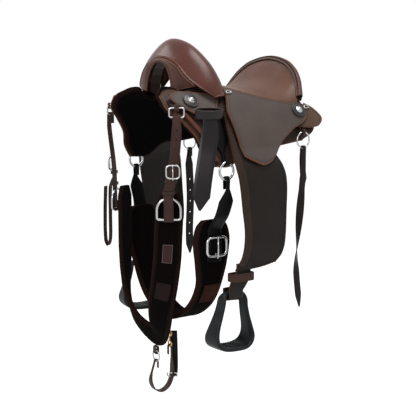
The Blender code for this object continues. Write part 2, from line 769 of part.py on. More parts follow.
def latigo_keeper():
    """A wide leather loop that lies against the front jockey and holds the latigo's tail."""
    up = KEEPER_ALONG.cross(KEEPER_OUT)
    height, half_length, half_depth = KEEPER_SIZE

    def place(u, v):
        angle = 2 * math.pi * u
        return (KEEPER_CENTRE + KEEPER_ALONG * half_length * math.cos(angle)
                + KEEPER_OUT * half_depth * math.sin(angle) - up * height * (v - 0.5))

    return to_mesh(sheet("latigo_keeper", 16, 1, place, 0.003, LATIGO_LEATHER, lambda p: KEEPER_CENTRE))


# Fender and stirrup
FENDER_HIGH = flank(FENDER_AXIS_Y, 0.058, BAR_LIFT + BAR_THICK + LAYER_GAP)
FENDER_LOW = flank(FENDER_AXIS_Y, -0.080, FENDER_LOW_LIFT)
FENDER_LEAN = math.atan2(FENDER_LOW.x - FENDER_HIGH.x, FENDER_HIGH.z - FENDER_LOW.z)
FENDER_AXIS = Vector((1, -FLARE, math.tan(FENDER_LEAN))).normalized()
FENDER_DROP = through([(0, -0.080), (0.0062, -0.105), (0.0095, -0.14), (0.0100, -0.20), (0.0100, -0.365)])
DROPS = [FENDER_DROP(step / 40) for step in range(41)]
FENDER = (
    ((-0.080, 0.070), (-0.083, 0.0), (-0.088, -0.07), (-0.082, -0.12), (-0.074, -0.19), (-0.066, -0.26),
     (-0.074, -0.315), (-0.098, -0.351)),
    ((-0.012, 0.070), (0.0, 0.02), (0.018, -0.02), (0.050, -0.062), (0.066, -0.11), (0.068, -0.20),
     (0.066, -0.29), (0.055, -0.322), (0.035, -0.341)),
    ((-0.080, 0.070), (-0.045, 0.074), (-0.012, 0.070)),
    ((-0.098, -0.351), (-0.050, -0.351), (-0.005, -0.348), (0.035, -0.341)),
)


def fender_point(y, z):
    """A flat top that leans with the tree, so that it can swing in its own plane, then a bend to upright."""
    if z > FENDER_LOW.z:
        x = FENDER_LOW.x - (z - FENDER_LOW.z) * math.tan(FENDER_LEAN)
    else:
        x = FENDER_LOW.x + float(np.interp(-z, [-p.y for p in DROPS], [p.x for p in DROPS]))
    upright = min(max((-0.08 - z) / 0.25, 0), 1)
    return Vector((x + FLARE * (y - FENDER_AXIS_Y) * (1 - upright), y, z))


FENDER_PIVOT = fender_point(FENDER_AXIS_Y, FENDER_AXIS_Z)


def fender_plate(name):
    at = patch(*FENDER)

    def place(u, v):
        return fender_point(*at(u, v))

    return sheet(name, 6, 14, place, FENDER_THICK, FENDER_LEATHER, middle_plane)


STIRRUP_AXIS = Vector((-math.sin(STIRRUP_YAW), math.cos(STIRRUP_YAW), -math.tan(STIRRUP_LEAN)))
STIRRUP_AXIS.normalize()
STIRRUP_OUT = Vector((math.cos(STIRRUP_YAW), math.sin(STIRRUP_YAW), 0))
STIRRUP_UP = STIRRUP_OUT.cross(STIRRUP_AXIS)
FENDER_FOOT = fender_point(-0.072, -0.345) + SIDEWAYS * FENDER_THICK / 2
HOBBLE_CENTRE = FENDER_FOOT + Vector((0.0010, -0.0095, -0.023))


def fender(name):
    """The fender with the strap that runs from its foot round the stirrup's bar and back up."""
    turn_radius = STIRRUP_BAR_RADIUS + 2 * CLEAR + STRAP_THICK / 2
    bar = STIRRUP_BAR
    front = [FENDER_FOOT, FENDER_FOOT - BACKWARDS * 0.004 - UP * 0.022]
    front.append(bar + STIRRUP_OUT * turn_radius + UP * 0.020)
    wrap = []
    for degrees in np.linspace(0, 180, 7):
        angle = math.radians(degrees)
        wrap.append(bar + STIRRUP_OUT * turn_radius * math.cos(angle) - UP * turn_radius * math.sin(angle))
    back = [bar - STIRRUP_OUT * turn_radius + UP * 0.018]

    def side(t):
        return BACKWARDS.slerp(STIRRUP_AXIS, min(2 * t, 1))

    strap = ribbon("strap", front + wrap + back, side, lambda t: STRAP_WIDTH, STRAP_THICK, FENDER_LEATHER)
    return joined(fender_plate(name), strap)


def hobble(name):
    """The band round the fender's foot and its strap."""
    half_depth = HOBBLE_DEPTH / 2
    half_width = HOBBLE_WIDTH / 2
    outer = rounded_box(-half_depth - HOBBLE_THICK, half_depth + HOBBLE_THICK,
                        -half_width - HOBBLE_THICK, half_width + HOBBLE_THICK, 0.5)
    inner = rounded_box(-half_depth, half_depth, -half_width, half_width, 0.3)
    rings = []
    for outline, z in ((outer, -1), (outer, 1), (inner, 1), (inner, -1)):
        rings.append([HOBBLE_CENTRE + Vector((a, b, z * HOBBLE_HEIGHT / 2)) for a, b in outline])
    return loft(name, rings, STRAP_LEATHER, cyclic=True)


def stirrup(name):
    """A bell-shaped stirrup: a bar, two arms that widen downwards, and a deep curved tread."""
    w, h = STIRRUP_HALF_WIDTH, STIRRUP_HEIGHT
    bar = 2 * STIRRUP_BAR_RADIUS
    half = [  # along the axis, height, thickness in the plane, depth
        (0.0, 0.0, bar, bar),
        (0.028, 0.0, bar, bar),
        (0.036, -0.008, 0.013, 0.028),
        (0.040, -0.030, 0.011, 0.030),
        (0.76 * w, -0.40 * h, 0.011, 0.034),
        (0.93 * w, -0.62 * h, 0.012, 0.042),
        (1.00 * w, -0.78 * h, 0.013, 0.052),
        (0.90 * w, -0.90 * h, 0.013, 0.9 * TREAD_DEPTH),
        (0.58 * w, -0.98 * h, TREAD_THICK, TREAD_DEPTH),
        (0.0, -1.0 * h, TREAD_THICK, TREAD_DEPTH),
    ]
    # Once round: down one arm, along the tread, and up the other arm
    order = half + [(-a, z, t, d) for a, z, t, d in half[-2:0:-1]]
    rings = []
    for i, (a, z, thick, depth) in enumerate(order):
        before, after = order[i - 1], order[(i + 1) % len(order)]
        along = Vector((after[0] - before[0], after[1] - before[1])).normalized()
        out = Vector((along.y, -along.x))
        ring = []
        for c, s in rounded_box(-0.5, 0.5, -0.5, 0.5, 0.75)[::2]:
            point = Vector((a, z)) + out * c * thick
            ring.append(STIRRUP_BAR + STIRRUP_AXIS * point.x + STIRRUP_OUT * s * depth + STIRRUP_UP * point.y)
        rings.append(ring)
    return loft(name, rings, COMPOSITE, cyclic=True)


# Breast collar
def hung_frame(centre):
    return frame_at(centre, WIDE, -OUT)


def squared_ring(width, height, rounding=0.5):
    """The wire's path round a frame with rounded corners, in the local X-Z plane."""
    return [(a, 0, b) for a, b in rounded_box(-width / 2, width / 2, -height / 2, height / 2, rounding)]


def wrap_points(centre, out, radius, start, end, count=5):
    """Points round a wire at centre: degrees from straight out (0) to straight up (90)."""
    return [
        centre + out * radius * math.cos(math.radians(a)) + UP * radius * math.sin(math.radians(a))
        for a in np.linspace(start, end, count)
    ]


def widening(narrow, wide, start, length):
    """A strap's width: narrow up to start, then widening over length, both as parts of its whole."""
    return lambda t: narrow + (wide - narrow) * min(max((t - start) / length, 0), 1)


def front_ring(name):
    return wire(name, squared_ring(FRONT_RING_WIDTH, FRONT_RING_HEIGHT), SMALL_WIRE, CHROME,
                matrix=hung_frame(FRONT_RING))


def front_chape(name):
    """The fold that holds the ring's top, and its strap that runs up between skirt and front jockey."""
    top = FRONT_RING + UP * FRONT_RING_HEIGHT / 2
    slot = (FOLD_SLOT, 0.0130)
    block = (FOLD_DEPTH, 0.0182)
    fold = slotted_block(name, frame_at(top, WIDE, OUT), slot, block, 0.012, STRAP_LEATHER)
    lay = SKIRT_TOP + LAYER_GAP + TIE_THICK / 2
    points = [top - OUT * 0.0045 + UP * 0.0015]
    points += [flank(FRONT_RING.y, z, lay) for z in (0.082, 0.092)]
    tail = ribbon("tail", points, lambda t: WIDE.slerp(BACKWARDS, min(2 * t, 1)), lambda t: 0.011, TIE_THICK,
                  STRAP_LEATHER)
    return joined(fold, tail)


BUCKLE_SEAT = Vector((0.158, -0.222, ADJUSTER_BUCKLE_Z))
ADJUSTER_BUCKLE = BUCKLE_SEAT + OUT * (ADJUSTER_THICK / 2 + 0.0066)
COLLAR_BAR = COLLAR_RING - UP * COLLAR_RING_HEIGHT / 2
COLLAR_FOLD = COLLAR_WIRE + ADJUSTER_THICK / 2 + 2 * CLEAR


def adjuster_strap(name):
    """From a fold round the front ring's foot, behind the buckle, to a fold round the collar ring's bar."""
    fold = SMALL_WIRE + ADJUSTER_THICK / 2 + 2 * CLEAR
    ring_foot = FRONT_RING - UP * FRONT_RING_HEIGHT / 2
    points = [ring_foot - OUT * fold - UP * 0.026]
    points += wrap_points(ring_foot, OUT, fold, 180, 0)
    points.append(ring_foot + OUT * (fold - 0.001) - UP * 0.04)
    points.append(BUCKLE_SEAT)
    points.append(COLLAR_RING + OUT * COLLAR_FOLD + UP * 0.045)
    points.append(COLLAR_RING + OUT * COLLAR_FOLD)
    points += wrap_points(COLLAR_BAR, OUT, COLLAR_FOLD, 0, -180)
    points.append(COLLAR_BAR - OUT * COLLAR_FOLD + UP * 0.024)
    width = widening(ADJUSTER_FOLD_WIDTH, ADJUSTER_WIDTH, 0.16, 0.05)
    return ribbon(name, points, lambda t: WIDE, width, ADJUSTER_THICK, STRAP_LEATHER)


def adjuster_strap_with_spare(name):
    """The right side's strap, whose spare length hangs in a loop below the buckle."""
    start = BUCKLE_SEAT - UP * 0.019
    points = [start + OUT * out + UP * (z - start.z) for out, z in SPARE_LOOP]
    spare = ribbon("spare", points, lambda t: WIDE, lambda t: SPARE_WIDTH, TIE_THICK, STRAP_LEATHER)
    return joined(adjuster_strap(name), spare)


def adjuster_buckle(name):
    return wire(name, squared_ring(ADJUSTER_BUCKLE_SIZE, ADJUSTER_BUCKLE_SIZE), SMALL_WIRE, CHROME,
                matrix=hung_frame(ADJUSTER_BUCKLE))


def tongue(name, heel, out, length, bar, tube, look):
    """A tongue hooked round the heel bar, lying along the buckle with its tip on the far bar."""
    hook = bar + tube + CLEAR
    points = wrap_points(heel, out, hook, 110, 360, 7)
    points.append(heel + out * (hook + 0.0004) + UP * 0.35 * length)
    points.append(heel + out * hook + UP * length)
    return wire(name, points, tube, look, closed=False, sides=1)


def adjuster_tongue(name):
    heel = ADJUSTER_BUCKLE - UP * ADJUSTER_BUCKLE_SIZE / 2
    return tongue(name, heel, OUT, ADJUSTER_BUCKLE_SIZE + 0.0025, SMALL_WIRE, 0.0014, CHROME)


def collar_ring(name):
    """A dee: a straight bar at the foot for the strap, and an arch above it on the pad."""
    half = COLLAR_RING_WIDTH / 2
    low = -COLLAR_RING_HEIGHT / 2
    corner = 0.007
    points = arc(half, 0, 180, 13, (0, COLLAR_RING_HEIGHT / 2 - half))
    points += [(-half, 0, low + corner), (-half + corner, 0, low)]
    points += [(half - corner, 0, low), (half, 0, low + corner)]
    return wire(name, points, COLLAR_WIRE, CHROME, matrix=hung_frame(COLLAR_RING))


def breast_pad():
    """One padded band from ring to ring under the chest, with the fold for the centre ring."""
    side_face = [tuple(OUT)] * 4
    side_face += [(0.74, -0.65, -0.05), (0.62, -0.75, -0.1), (0.42, -0.88, -0.2), (0.2, -0.95, -0.25)]
    path = PAD_PATH + [PAD_MIDDLE] + [(-x, y, z) for x, y, z in reversed(PAD_PATH)]
    faces = side_face + [(0, -0.97, -0.26)] + [(-x, y, z) for x, y, z in reversed(side_face)]

    def width(t):
        end = min(t, 1 - t)
        narrower = 1 - 0.14 * math.exp(-(((t - 0.5) / 0.08) ** 2))
        return PAD_WIDTH * (0.62 + 0.38 * min(end / 0.03, 1)) * narrower

    pad = faced_band("breast_pad", path, faces, width, PAD_THICK, FELT, 30, 2)
    ring_fold = slotted_block(
        "fold", frame_at(CENTRE_AXIS, SIDEWAYS, -BACKWARDS),
        (FOLD_SLOT, 0.0094), ((-0.0066, 0.0066), 0.0270), 0.014, STRAP_LEATHER,
    )
    return joined(pad, ring_fold)


def centre_ring():
    frame = frame_at(CENTRE_RING, SIDEWAYS, BACKWARDS)
    return round_ring("centre_ring", frame, CENTRE_RING_RADIUS, SMALL_WIRE, CHROME, 14)


def tie_down_strap():
    """A loop of strap from the centre ring down, round and up to the snap's eye."""
    front = -BACKWARDS
    fold = SMALL_WIRE + TIE_THICK / 2 + 3 * CLEAR
    ring_foot = CENTRE_RING - UP * CENTRE_RING_RADIUS
    eye_foot = SNAP_EYE - UP * SNAP_EYE_RADIUS
    points = [ring_foot - front * fold - UP * 0.020]
    points += wrap_points(ring_foot, front, fold, 180, 0)
    points += [Vector((0, y, z)) for y, z in TIE_LOOP]
    fold += CLEAR
    points.append(eye_foot - front * fold - UP * 0.025)
    points += wrap_points(eye_foot, front, fold, 180, 0)
    points.append(eye_foot + front * fold - UP * 0.022)
    ends = widening(SNAP_EYE_RADIUS, TIE_WIDTH, 0.20, 0.10)
    return ribbon("tie_down_strap", points, lambda t: SIDEWAYS, lambda t: ends(min(t, 1 - t)), TIE_THICK,
                  STRAP_LEATHER)


def tie_down_snap():
    """A snap hook: an eye for the strap, a shank, and the hook above it."""
    eye = arc(SNAP_EYE_RADIUS, 84, -258, 13)
    hook = arc(0.008, -90, 190, 9, (0.0, 0.030))
    return wire("tie_down_snap", eye + hook, 0.0020, BRASS, closed=False, sides=1,
                matrix=frame_at(SNAP_EYE, SIDEWAYS, BACKWARDS))


# Rigging and girth
def rigging_ring(name):
    frame = frame_at(RIGGING_RING, BACKWARDS, SIDEWAYS)
    return round_ring(name, frame, RIGGING_RING_RADIUS, RIGGING_WIRE, CHROME, 16)


def rigging_strap(name):
    """The strap that comes down over the skirt, round the ring's top and a little way up again."""
    ring_top = RIGGING_RING + UP * RIGGING_RING_RADIUS
    lay = LATIGO_LIFT + CLEAR
    points = [flank(RIGGING_RING_Y, z, lay) for z in (0.048, 0.020, -0.008, -0.030, ring_top.z + 0.012)]
    points += wrap_points(ring_top, SIDEWAYS, RING_FOLD, 180, 360)
    points.append(ring_top + SIDEWAYS * (RING_FOLD - 0.0025) + UP * 0.008)
    width = widening(LATIGO_WIDTH, RING_WRAP_WIDTH, 0.42, 0.22)
    return ribbon(name, points, lambda t: BACKWARDS, width, LATIGO_THICK, LATIGO_LEATHER)


def latigo(name):
    """From a fold round the ring's foot down behind the girth's buckle."""
    ring_foot = RIGGING_RING - UP * RIGGING_RING_RADIUS
    lay = GIRTH_OUTER_X + LAYER_GAP + LATIGO_THICK / 2
    points = [ring_foot - SIDEWAYS * (RING_FOLD - 0.001) - UP * 0.026]
    points += wrap_points(ring_foot, SIDEWAYS, RING_FOLD, 180, 0)
    points += [
        Vector((RIGGING_RING.x + RING_FOLD - 0.004, RIGGING_RING_Y, ring_foot.z - 0.040)),
        Vector((0.5 * (RIGGING_RING.x + lay) + 0.002, RIGGING_RING_Y, -0.210)),
        Vector((lay + 0.0018, GIRTH_Y, -0.248)),
        Vector((lay, GIRTH_Y, -0.270)),
        Vector((lay - 0.0004, GIRTH_Y, -0.300)),
        Vector((lay - 0.0018, GIRTH_Y, -0.338)),
    ]
    width = widening(RING_WRAP_WIDTH, LATIGO_WIDTH, 0.26, 0.12)
    return ribbon(name, points, lambda t: BACKWARDS, width, LATIGO_THICK, LATIGO_LEATHER)


def girth_buckle(name):
    return wire(name, squared_ring(GIRTH_BUCKLE_WIDTH, GIRTH_BUCKLE_HEIGHT), RIGGING_WIRE, CHROME,
                matrix=frame_at(GIRTH_BUCKLE, BACKWARDS, SIDEWAYS))


def girth_tongue(name):
    heel = GIRTH_BUCKLE - UP * GIRTH_BUCKLE_HEIGHT / 2
    return tongue(name, heel, SIDEWAYS, GIRTH_BUCKLE_HEIGHT + 0.003, RIGGING_WIRE, 0.0022, CHROME)


def girth():
    """One padded band under the belly, wide at its rounded ends and narrow at the necks."""
    half = [Vector((x, GIRTH_Y, z)) for x, z in GIRTH_PATH]
    path = through(half + [Vector((-p.x, p.y, p.z)) for p in reversed(half[:-1])])
    widths = through(GIRTH_WIDTHS)
    table = [widths(t) for t in np.linspace(0, 1, 40)]

    def place(u, v):
        end = min(v, 1 - v)
        width = float(np.interp(end, [p.x for p in table], [p.y for p in table]))
        return path(v) + BACKWARDS * (width * (u - 0.5) - 0.004 * (1 - min(end / 0.2, 1)))

    return to_mesh(sheet("girth", 2, 36, place, GIRTH_THICK, FELT, lambda p: p * 2))


# Rear rings
def rear_ring_centre(spot):
    """Where a rear ring hangs, on the left side: spot is how far back, and its height."""
    y, z = spot
    return flank(y, z + REAR_RING_RADIUS, SKIRT_TOP) + SIDEWAYS * REAR_RING_OFF - UP * REAR_RING_RADIUS


def rear_ring(name, spot):
    frame = frame_at(rear_ring_centre(spot), BACKWARDS, SIDEWAYS)
    return round_ring(name, frame, REAR_RING_RADIUS, SMALL_WIRE, CHROME, 16)


def rear_chape(name, spot):
    """The fold that holds the ring's top, and its strap that runs up between skirt and rear jockey."""
    top = rear_ring_centre(spot) + UP * REAR_RING_RADIUS
    middle = top - UP * 0.0007
    slot = (FOLD_SLOT, 0.0124)
    block = (FOLD_DEPTH, 0.0176)
    fold = slotted_block(name, frame_at(middle, BACKWARDS, SIDEWAYS), slot, block, 0.009, STRAP_LEATHER)
    lay = SKIRT_TOP + LAYER_GAP + TIE_THICK / 2
    points = [top - SIDEWAYS * 0.0045 + UP * 0.002, flank(top.y, top.z + 0.014, lay),
              flank(top.y, top.z + 0.030, lay)]
    tail = ribbon("tail", points, lambda t: BACKWARDS, lambda t: 0.008, TIE_THICK, STRAP_LEATHER)
    return joined(fold, tail)


def over_ring(spot):
    """A strap's way over the foot of a rear ring, and where that foot is."""
    foot = rear_ring_centre(spot) - UP * REAR_RING_RADIUS
    fold = SMALL_WIRE + TIE_THICK / 2 + 3 * CLEAR
    return foot, wrap_points(foot, SIDEWAYS, fold, 180, 0)


def rear_strap(name, spot):
    """A narrow strap laid over the ring's foot: a short end behind, and a long end that twists."""
    foot, wrap = over_ring(spot)
    points = [foot + Vector((-0.013, 0.018, -0.105)), foot + Vector((-0.008, 0.002, -0.030))] + wrap
    points += [foot + Vector((0.005, 0, -0.03)), foot + Vector((0.001, -0.004, -0.12)),
               foot + Vector((0, -0.014, -0.24)), foot + Vector((0, -0.020, -0.33)),
               foot + Vector((0, -0.006, -REAR_STRAP_LENGTH))]
    ends = widening(TIE_FOLD_WIDTH, REAR_STRAP_WIDTH, 0.05, 0.10)

    def side(t):
        turn = math.pi * min(max((t - 0.42) / 0.40, 0), 1)
        return Vector((math.sin(turn), math.cos(turn), 0))

    def width(t):
        return ends(abs(t - 0.21)) * min((1.02 - t) / 0.08, 1) * min((0.01 + t) / 0.04, 1)

    return ribbon(name, points, side, width, TIE_THICK, LATIGO_LEATHER)


def rear_billet(name, spot):
    """The right side's strap, folded over the ring's foot: flat, with a pointed end."""
    foot, wrap = over_ring(spot)
    points = [wrap[0] - UP * 0.022] + wrap
    points += [foot + Vector((0.004, 0, -0.04)), foot + Vector((0, 0.002, -0.15)),
               foot + Vector((0, -0.002, -0.26)), foot + Vector((0, 0, -BILLET_LENGTH))]
    wider = widening(TIE_FOLD_WIDTH, BILLET_WIDTH, 0.13, 0.10)

    def width(t):
        return wider(t) * min((1.02 - t) / 0.10, 1)

    return ribbon(name, points, lambda t: BACKWARDS, width, TIE_THICK, LATIGO_LEATHER)


def latigo_tail():
    """The latigo's free end, hanging from its keeper to a point."""
    points = [TAIL_AXIS + UP * 0.001] + [Vector(p) for p in TAIL_PATH]

    def width(t):
        return LATIGO_WIDTH * (0.80 + 0.20 * min(t / 0.2, 1)) * min((1.03 - t) / 0.10, 1)

    def side(t):
        return KEEPER_ALONG.slerp(WIDE, min(t / 0.4, 1))

    return ribbon("latigo_tail", points, side, width, LATIGO_THICK, LATIGO_LEATHER)


def pivot(name, place, pieces, parent=None):
    """An empty on a joint's axis, which carries the pieces that move with it."""
    empty = bpy.data.objects.new(name, None)
    SADDLE.objects.link(empty)
    empty.location = place
    if parent:
        empty.parent = parent
        empty.matrix_parent_inverse = Matrix.Translation(parent.matrix_world.translation).inverted()
    bpy.context.view_layer.update()
    for piece in pieces:
        piece.parent = empty
        piece.matrix_parent_inverse = empty.matrix_world.inverted()
    return empty


def mirrored(point):
    return Vector((-point.x, point.y, point.z))


def build():
    saddle_tree()
    swell_cover()
    gullet_band()
    seat_cover()
    cantle_cover()
    both(flank_sheet, "panel", inset(SKIRT, 0.006), 14, 9, 0.0, PANEL_THICK, FELT)
    both(flank_sheet, "skirt", SKIRT, 14, 9, SKIRT_LIFT, SKIRT_THICK, BAND_LEATHER)
    both(flank_sheet, "front_jockey", FRONT_JOCKEY, 7, 4, UNDER_JOCKEY_LIFT, JOCKEY_THICK, JOCKEY_LEATHER)
    both(flank_sheet, "rear_jockey", REAR_JOCKEY, 6, 4, UNDER_JOCKEY_LIFT, JOCKEY_THICK, STRAP_LEATHER)
    both(flank_sheet, "seat_jockey", SEAT_JOCKEY, 9, 9, jockey_lift, JOCKEY_THICK, JOCKEY_LEATHER)
    both(concho, "front_concho", -0.168, 0.090, UNDER_JOCKEY_LIFT + JOCKEY_THICK)
    both(concho, "rear_concho", 0.158, 0.062, JOCKEY_LIFT + JOCKEY_THICK)
    both(front_chape, "front_ring_chape")
    rear_chape("rear_ring_chape_left", REAR_RINGS[0])
    far_side(rear_chape, "rear_ring_chape_right", REAR_RINGS[1])
    both(rigging_strap, "rigging_strap")
    latigo_keeper()

    fenders = both(fender, "fender")
    hobbles = both(hobble, "hobble")
    stirrups = both(stirrup, "stirrup")
    fender_axis = Vector((-FENDER_AXIS.x, FENDER_AXIS.y, FENDER_AXIS.z))
    turned_about([fenders[1], hobbles[1], stirrups[1]], mirrored(FENDER_PIVOT), fender_axis, -FAR_FENDER_BACK)
    tail = latigo_tail()
    rear_rings = (rear_ring("rear_ring_left", REAR_RINGS[0]),
                  far_side(rear_ring, "rear_ring_right", REAR_RINGS[1]))
    rear_straps = (rear_strap("rear_strap_left", REAR_RINGS[0]),
                   far_side(rear_billet, "rear_strap_right", REAR_RINGS[1]))
    front_rings = both(front_ring, "front_ring")
    adjusters = (adjuster_strap("adjuster_strap_left"),
                 far_side(adjuster_strap_with_spare, "adjuster_strap_right"))
    adjuster_buckles = both(adjuster_buckle, "adjuster_buckle")
    adjuster_tongues = both(adjuster_tongue, "adjuster_tongue")
    collar_rings = both(collar_ring, "collar_ring")
    pad = breast_pad()
    middle_ring = centre_ring()
    tie_strap = tie_down_strap()
    snap = tie_down_snap()
    rigging_rings = both(rigging_ring, "rigging_ring")
    latigos = both(latigo, "latigo")
    girth_buckles = both(girth_buckle, "girth_buckle")
    girth_tongues = both(girth_tongue, "girth_tongue")
    belly_band = girth()

    collar_axis = Vector((0, FRONT_RING.y, FRONT_RING.z + FRONT_RING_HEIGHT / 2))
    collar_pieces = [*front_rings, *adjusters, *adjuster_buckles, *collar_rings, pad]
    collar = pivot("collar_pivot", collar_axis, collar_pieces)
    pivot("tie_down_pivot", CENTRE_AXIS, [middle_ring, tie_strap, snap], collar)
    girth_axis = Vector((0, RIGGING_RING.y, RIGGING_RING.z + RIGGING_RING_RADIUS))
    cinch = pivot("girth_pivot", girth_axis, [*rigging_rings, *latigos, *girth_buckles, belly_band])
    pivot("tail_pivot", TAIL_AXIS, [tail])
    for i, (side, place) in enumerate((("left", lambda p: p), ("right", mirrored))):
        swing = pivot(f"fender_{side}_pivot", place(FENDER_PIVOT), [fenders[i], hobbles[i]])
        bar = place(STIRRUP_BAR)
        if side == "right":
            bar = mirrored(FENDER_PIVOT) + Matrix.Rotation(math.radians(-FAR_FENDER_BACK), 3, fender_axis) @ (
                bar - mirrored(FENDER_PIVOT)
            )
        pivot(f"stirrup_{side}_pivot", bar, [stirrups[i]], swing)
        ring_top = rear_ring_centre(REAR_RINGS[i]) + UP * REAR_RING_RADIUS
        pivot(f"rear_{side}_pivot", place(ring_top), [rear_rings[i], rear_straps[i]])
        heel = ADJUSTER_BUCKLE - UP * ADJUSTER_BUCKLE_SIZE / 2
        pivot(f"adjuster_{side}_pivot", place(heel), [adjuster_tongues[i]], collar)
        heel = GIRTH_BUCKLE - UP * GIRTH_BUCKLE_HEIGHT / 2
        pivot(f"girth_tongue_{side}_pivot", place(heel), [girth_tongues[i]], cinch)


build()
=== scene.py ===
# %% [markdown]
# # A stock saddle, dressed for its portrait
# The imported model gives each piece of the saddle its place. This lesson covers those plain solids with smooth
# leather, felt and bright metal. First comes the frame itself, and a note of the size of the box it fills.

# %% Load the frame
import math

import bpy
import numpy as np
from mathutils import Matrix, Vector


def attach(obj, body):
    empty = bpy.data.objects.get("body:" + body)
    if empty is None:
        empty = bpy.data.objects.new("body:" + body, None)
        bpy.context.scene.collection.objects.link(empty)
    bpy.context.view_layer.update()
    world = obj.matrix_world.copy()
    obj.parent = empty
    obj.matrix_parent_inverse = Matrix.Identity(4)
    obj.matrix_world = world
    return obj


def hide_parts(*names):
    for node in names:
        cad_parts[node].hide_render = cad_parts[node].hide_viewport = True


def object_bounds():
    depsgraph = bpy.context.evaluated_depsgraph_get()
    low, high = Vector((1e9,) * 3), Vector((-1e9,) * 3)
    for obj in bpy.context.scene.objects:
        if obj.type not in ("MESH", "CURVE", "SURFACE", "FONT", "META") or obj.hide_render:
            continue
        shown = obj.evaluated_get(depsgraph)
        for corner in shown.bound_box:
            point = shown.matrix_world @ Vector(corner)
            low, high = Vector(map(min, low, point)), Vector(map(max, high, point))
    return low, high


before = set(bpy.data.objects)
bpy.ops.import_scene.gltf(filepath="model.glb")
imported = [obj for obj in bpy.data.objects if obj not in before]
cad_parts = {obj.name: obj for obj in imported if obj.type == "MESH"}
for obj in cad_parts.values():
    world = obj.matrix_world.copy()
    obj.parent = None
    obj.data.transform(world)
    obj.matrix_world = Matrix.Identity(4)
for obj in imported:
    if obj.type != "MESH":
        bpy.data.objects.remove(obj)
CAD_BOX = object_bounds()
print("frame box", [[round(float(x), 3) for x in corner] for corner in CAD_BOX])

# %% [markdown]
# The saddle is seen from its near front, at about the height of its seat. A short lens close by would make the near
# stirrup much larger than the far one. They look nearly alike, so a long lens from further away was chosen. It was
# fitted to parts of well-known size: the stirrups, the wide straps and the rings.

# %% Camera
AZIMUTH, ELEVATION, DISTANCE = math.radians(54.9), math.radians(7.4), 2.49
AIM = Vector((0, 0, -0.20))
IMAGE_WIDTH, LENS_PIXELS, SHIFT_PIXELS = 416, 857, -8
SENSOR_WIDTH = 36
towards = Vector((math.sin(AZIMUTH) * math.cos(ELEVATION), -math.cos(AZIMUTH) * math.cos(ELEVATION),
                  math.sin(ELEVATION)))
camera = bpy.data.objects.new("camera", bpy.data.cameras.new("camera"))
bpy.context.scene.collection.objects.link(camera)
camera.location = AIM + towards * DISTANCE
camera.rotation_euler = (-towards).to_track_quat("-Z", "Y").to_euler()
camera.data.sensor_width = SENSOR_WIDTH
camera.data.lens = SENSOR_WIDTH * LENS_PIXELS / IMAGE_WIDTH
camera.data.shift_y = SHIFT_PIXELS / IMAGE_WIDTH
bpy.context.scene.camera = camera
print("lens", round(camera.data.lens, 1), "mm")

# %% [markdown]
# Leather hangs and bends in smooth curves. They could be Blender's own curve objects, but then each piece would have
# to be turned into a mesh later. Here a curve is worked out through a few given points, for all its places at once,
# and a sheet's outline is four such curves with a smooth patch between them.

# %% Curves
UP = np.array([0, 0, 1.0])
BACK = np.array([0, 1.0, 0])
SIDE = np.array([1.0, 0, 0])


def smooth(points, t):
    """Hermite curve through the points: each slope is the chord between its neighbours, and t goes by chord length."""
    p = np.asarray(points, float)
    chords = np.linalg.norm(np.diff(p, axis=0), axis=1)
    s = np.concatenate([[0], np.cumsum(chords)]) / chords.sum()
    m = np.empty_like(p)
    m[1:-1] = (p[2:] - p[:-2]) / (s[2:] - s[:-2])[:, None]
    m[0] = (p[1] - p[0]) / s[1]
    m[-1] = (p[-1] - p[-2]) / (1 - s[-2])
    t = np.clip(np.asarray(t, float), 0, 1)
    i = np.clip(np.searchsorted(s, t, side="right") - 1, 0, len(s) - 2)
    span = (s[i + 1] - s[i])[..., None]
    f = (t - s[i])[..., None] / span
    return ((1 + 2 * f) * (1 - f) ** 2 * p[i] + f * (1 - f) ** 2 * span * m[i]
            + f * f * (3 - 2 * f) * p[i + 1] + f * f * (f - 1) * span * m[i + 1])


def unit(v):
    """Each row divided by its own length."""
    return v / np.maximum(np.linalg.norm(v, axis=-1, keepdims=True), 1e-12)


def patch(edges, u, v):
    """Coons patch: top to bottom mix, plus front to rear mix, minus the flat mix of the four corners."""
    front, rear, top, bottom = edges
    a, b = u[..., None], v[..., None]
    ends = [smooth(e, np.array([0.0, 1.0])) for e in (top, bottom)]
    flat = (ends[0][0] * (1 - a) + ends[0][1] * a) * (1 - b) + (ends[1][0] * (1 - a) + ends[1][1] * a) * b
    return (smooth(top, u) * (1 - b) + smooth(bottom, u) * b
            + smooth(front, v) * (1 - a) + smooth(rear, v) * a - flat)


def grid(columns, rows):
    """u and v from 0 to 1, on a grid."""
    return np.meshgrid(np.linspace(0, 1, columns), np.linspace(0, 1, rows), indexing="ij")


print("half way along a bent line:", smooth([(0, 0, 0), (0.1, 0.1, 0), (0.2, 0, 0)], 0.5))

# %% [markdown]
# A mesh could be made face by face with bmesh. With thousands of stitches and grids of a hundred by a hundred, whole
# arrays are much quicker, so this tool takes arrays of points and faces and hands them to Blender in one go. It turns
# the faces outwards, and keeps each point's distance from the edge, because worn edges make leather look real.

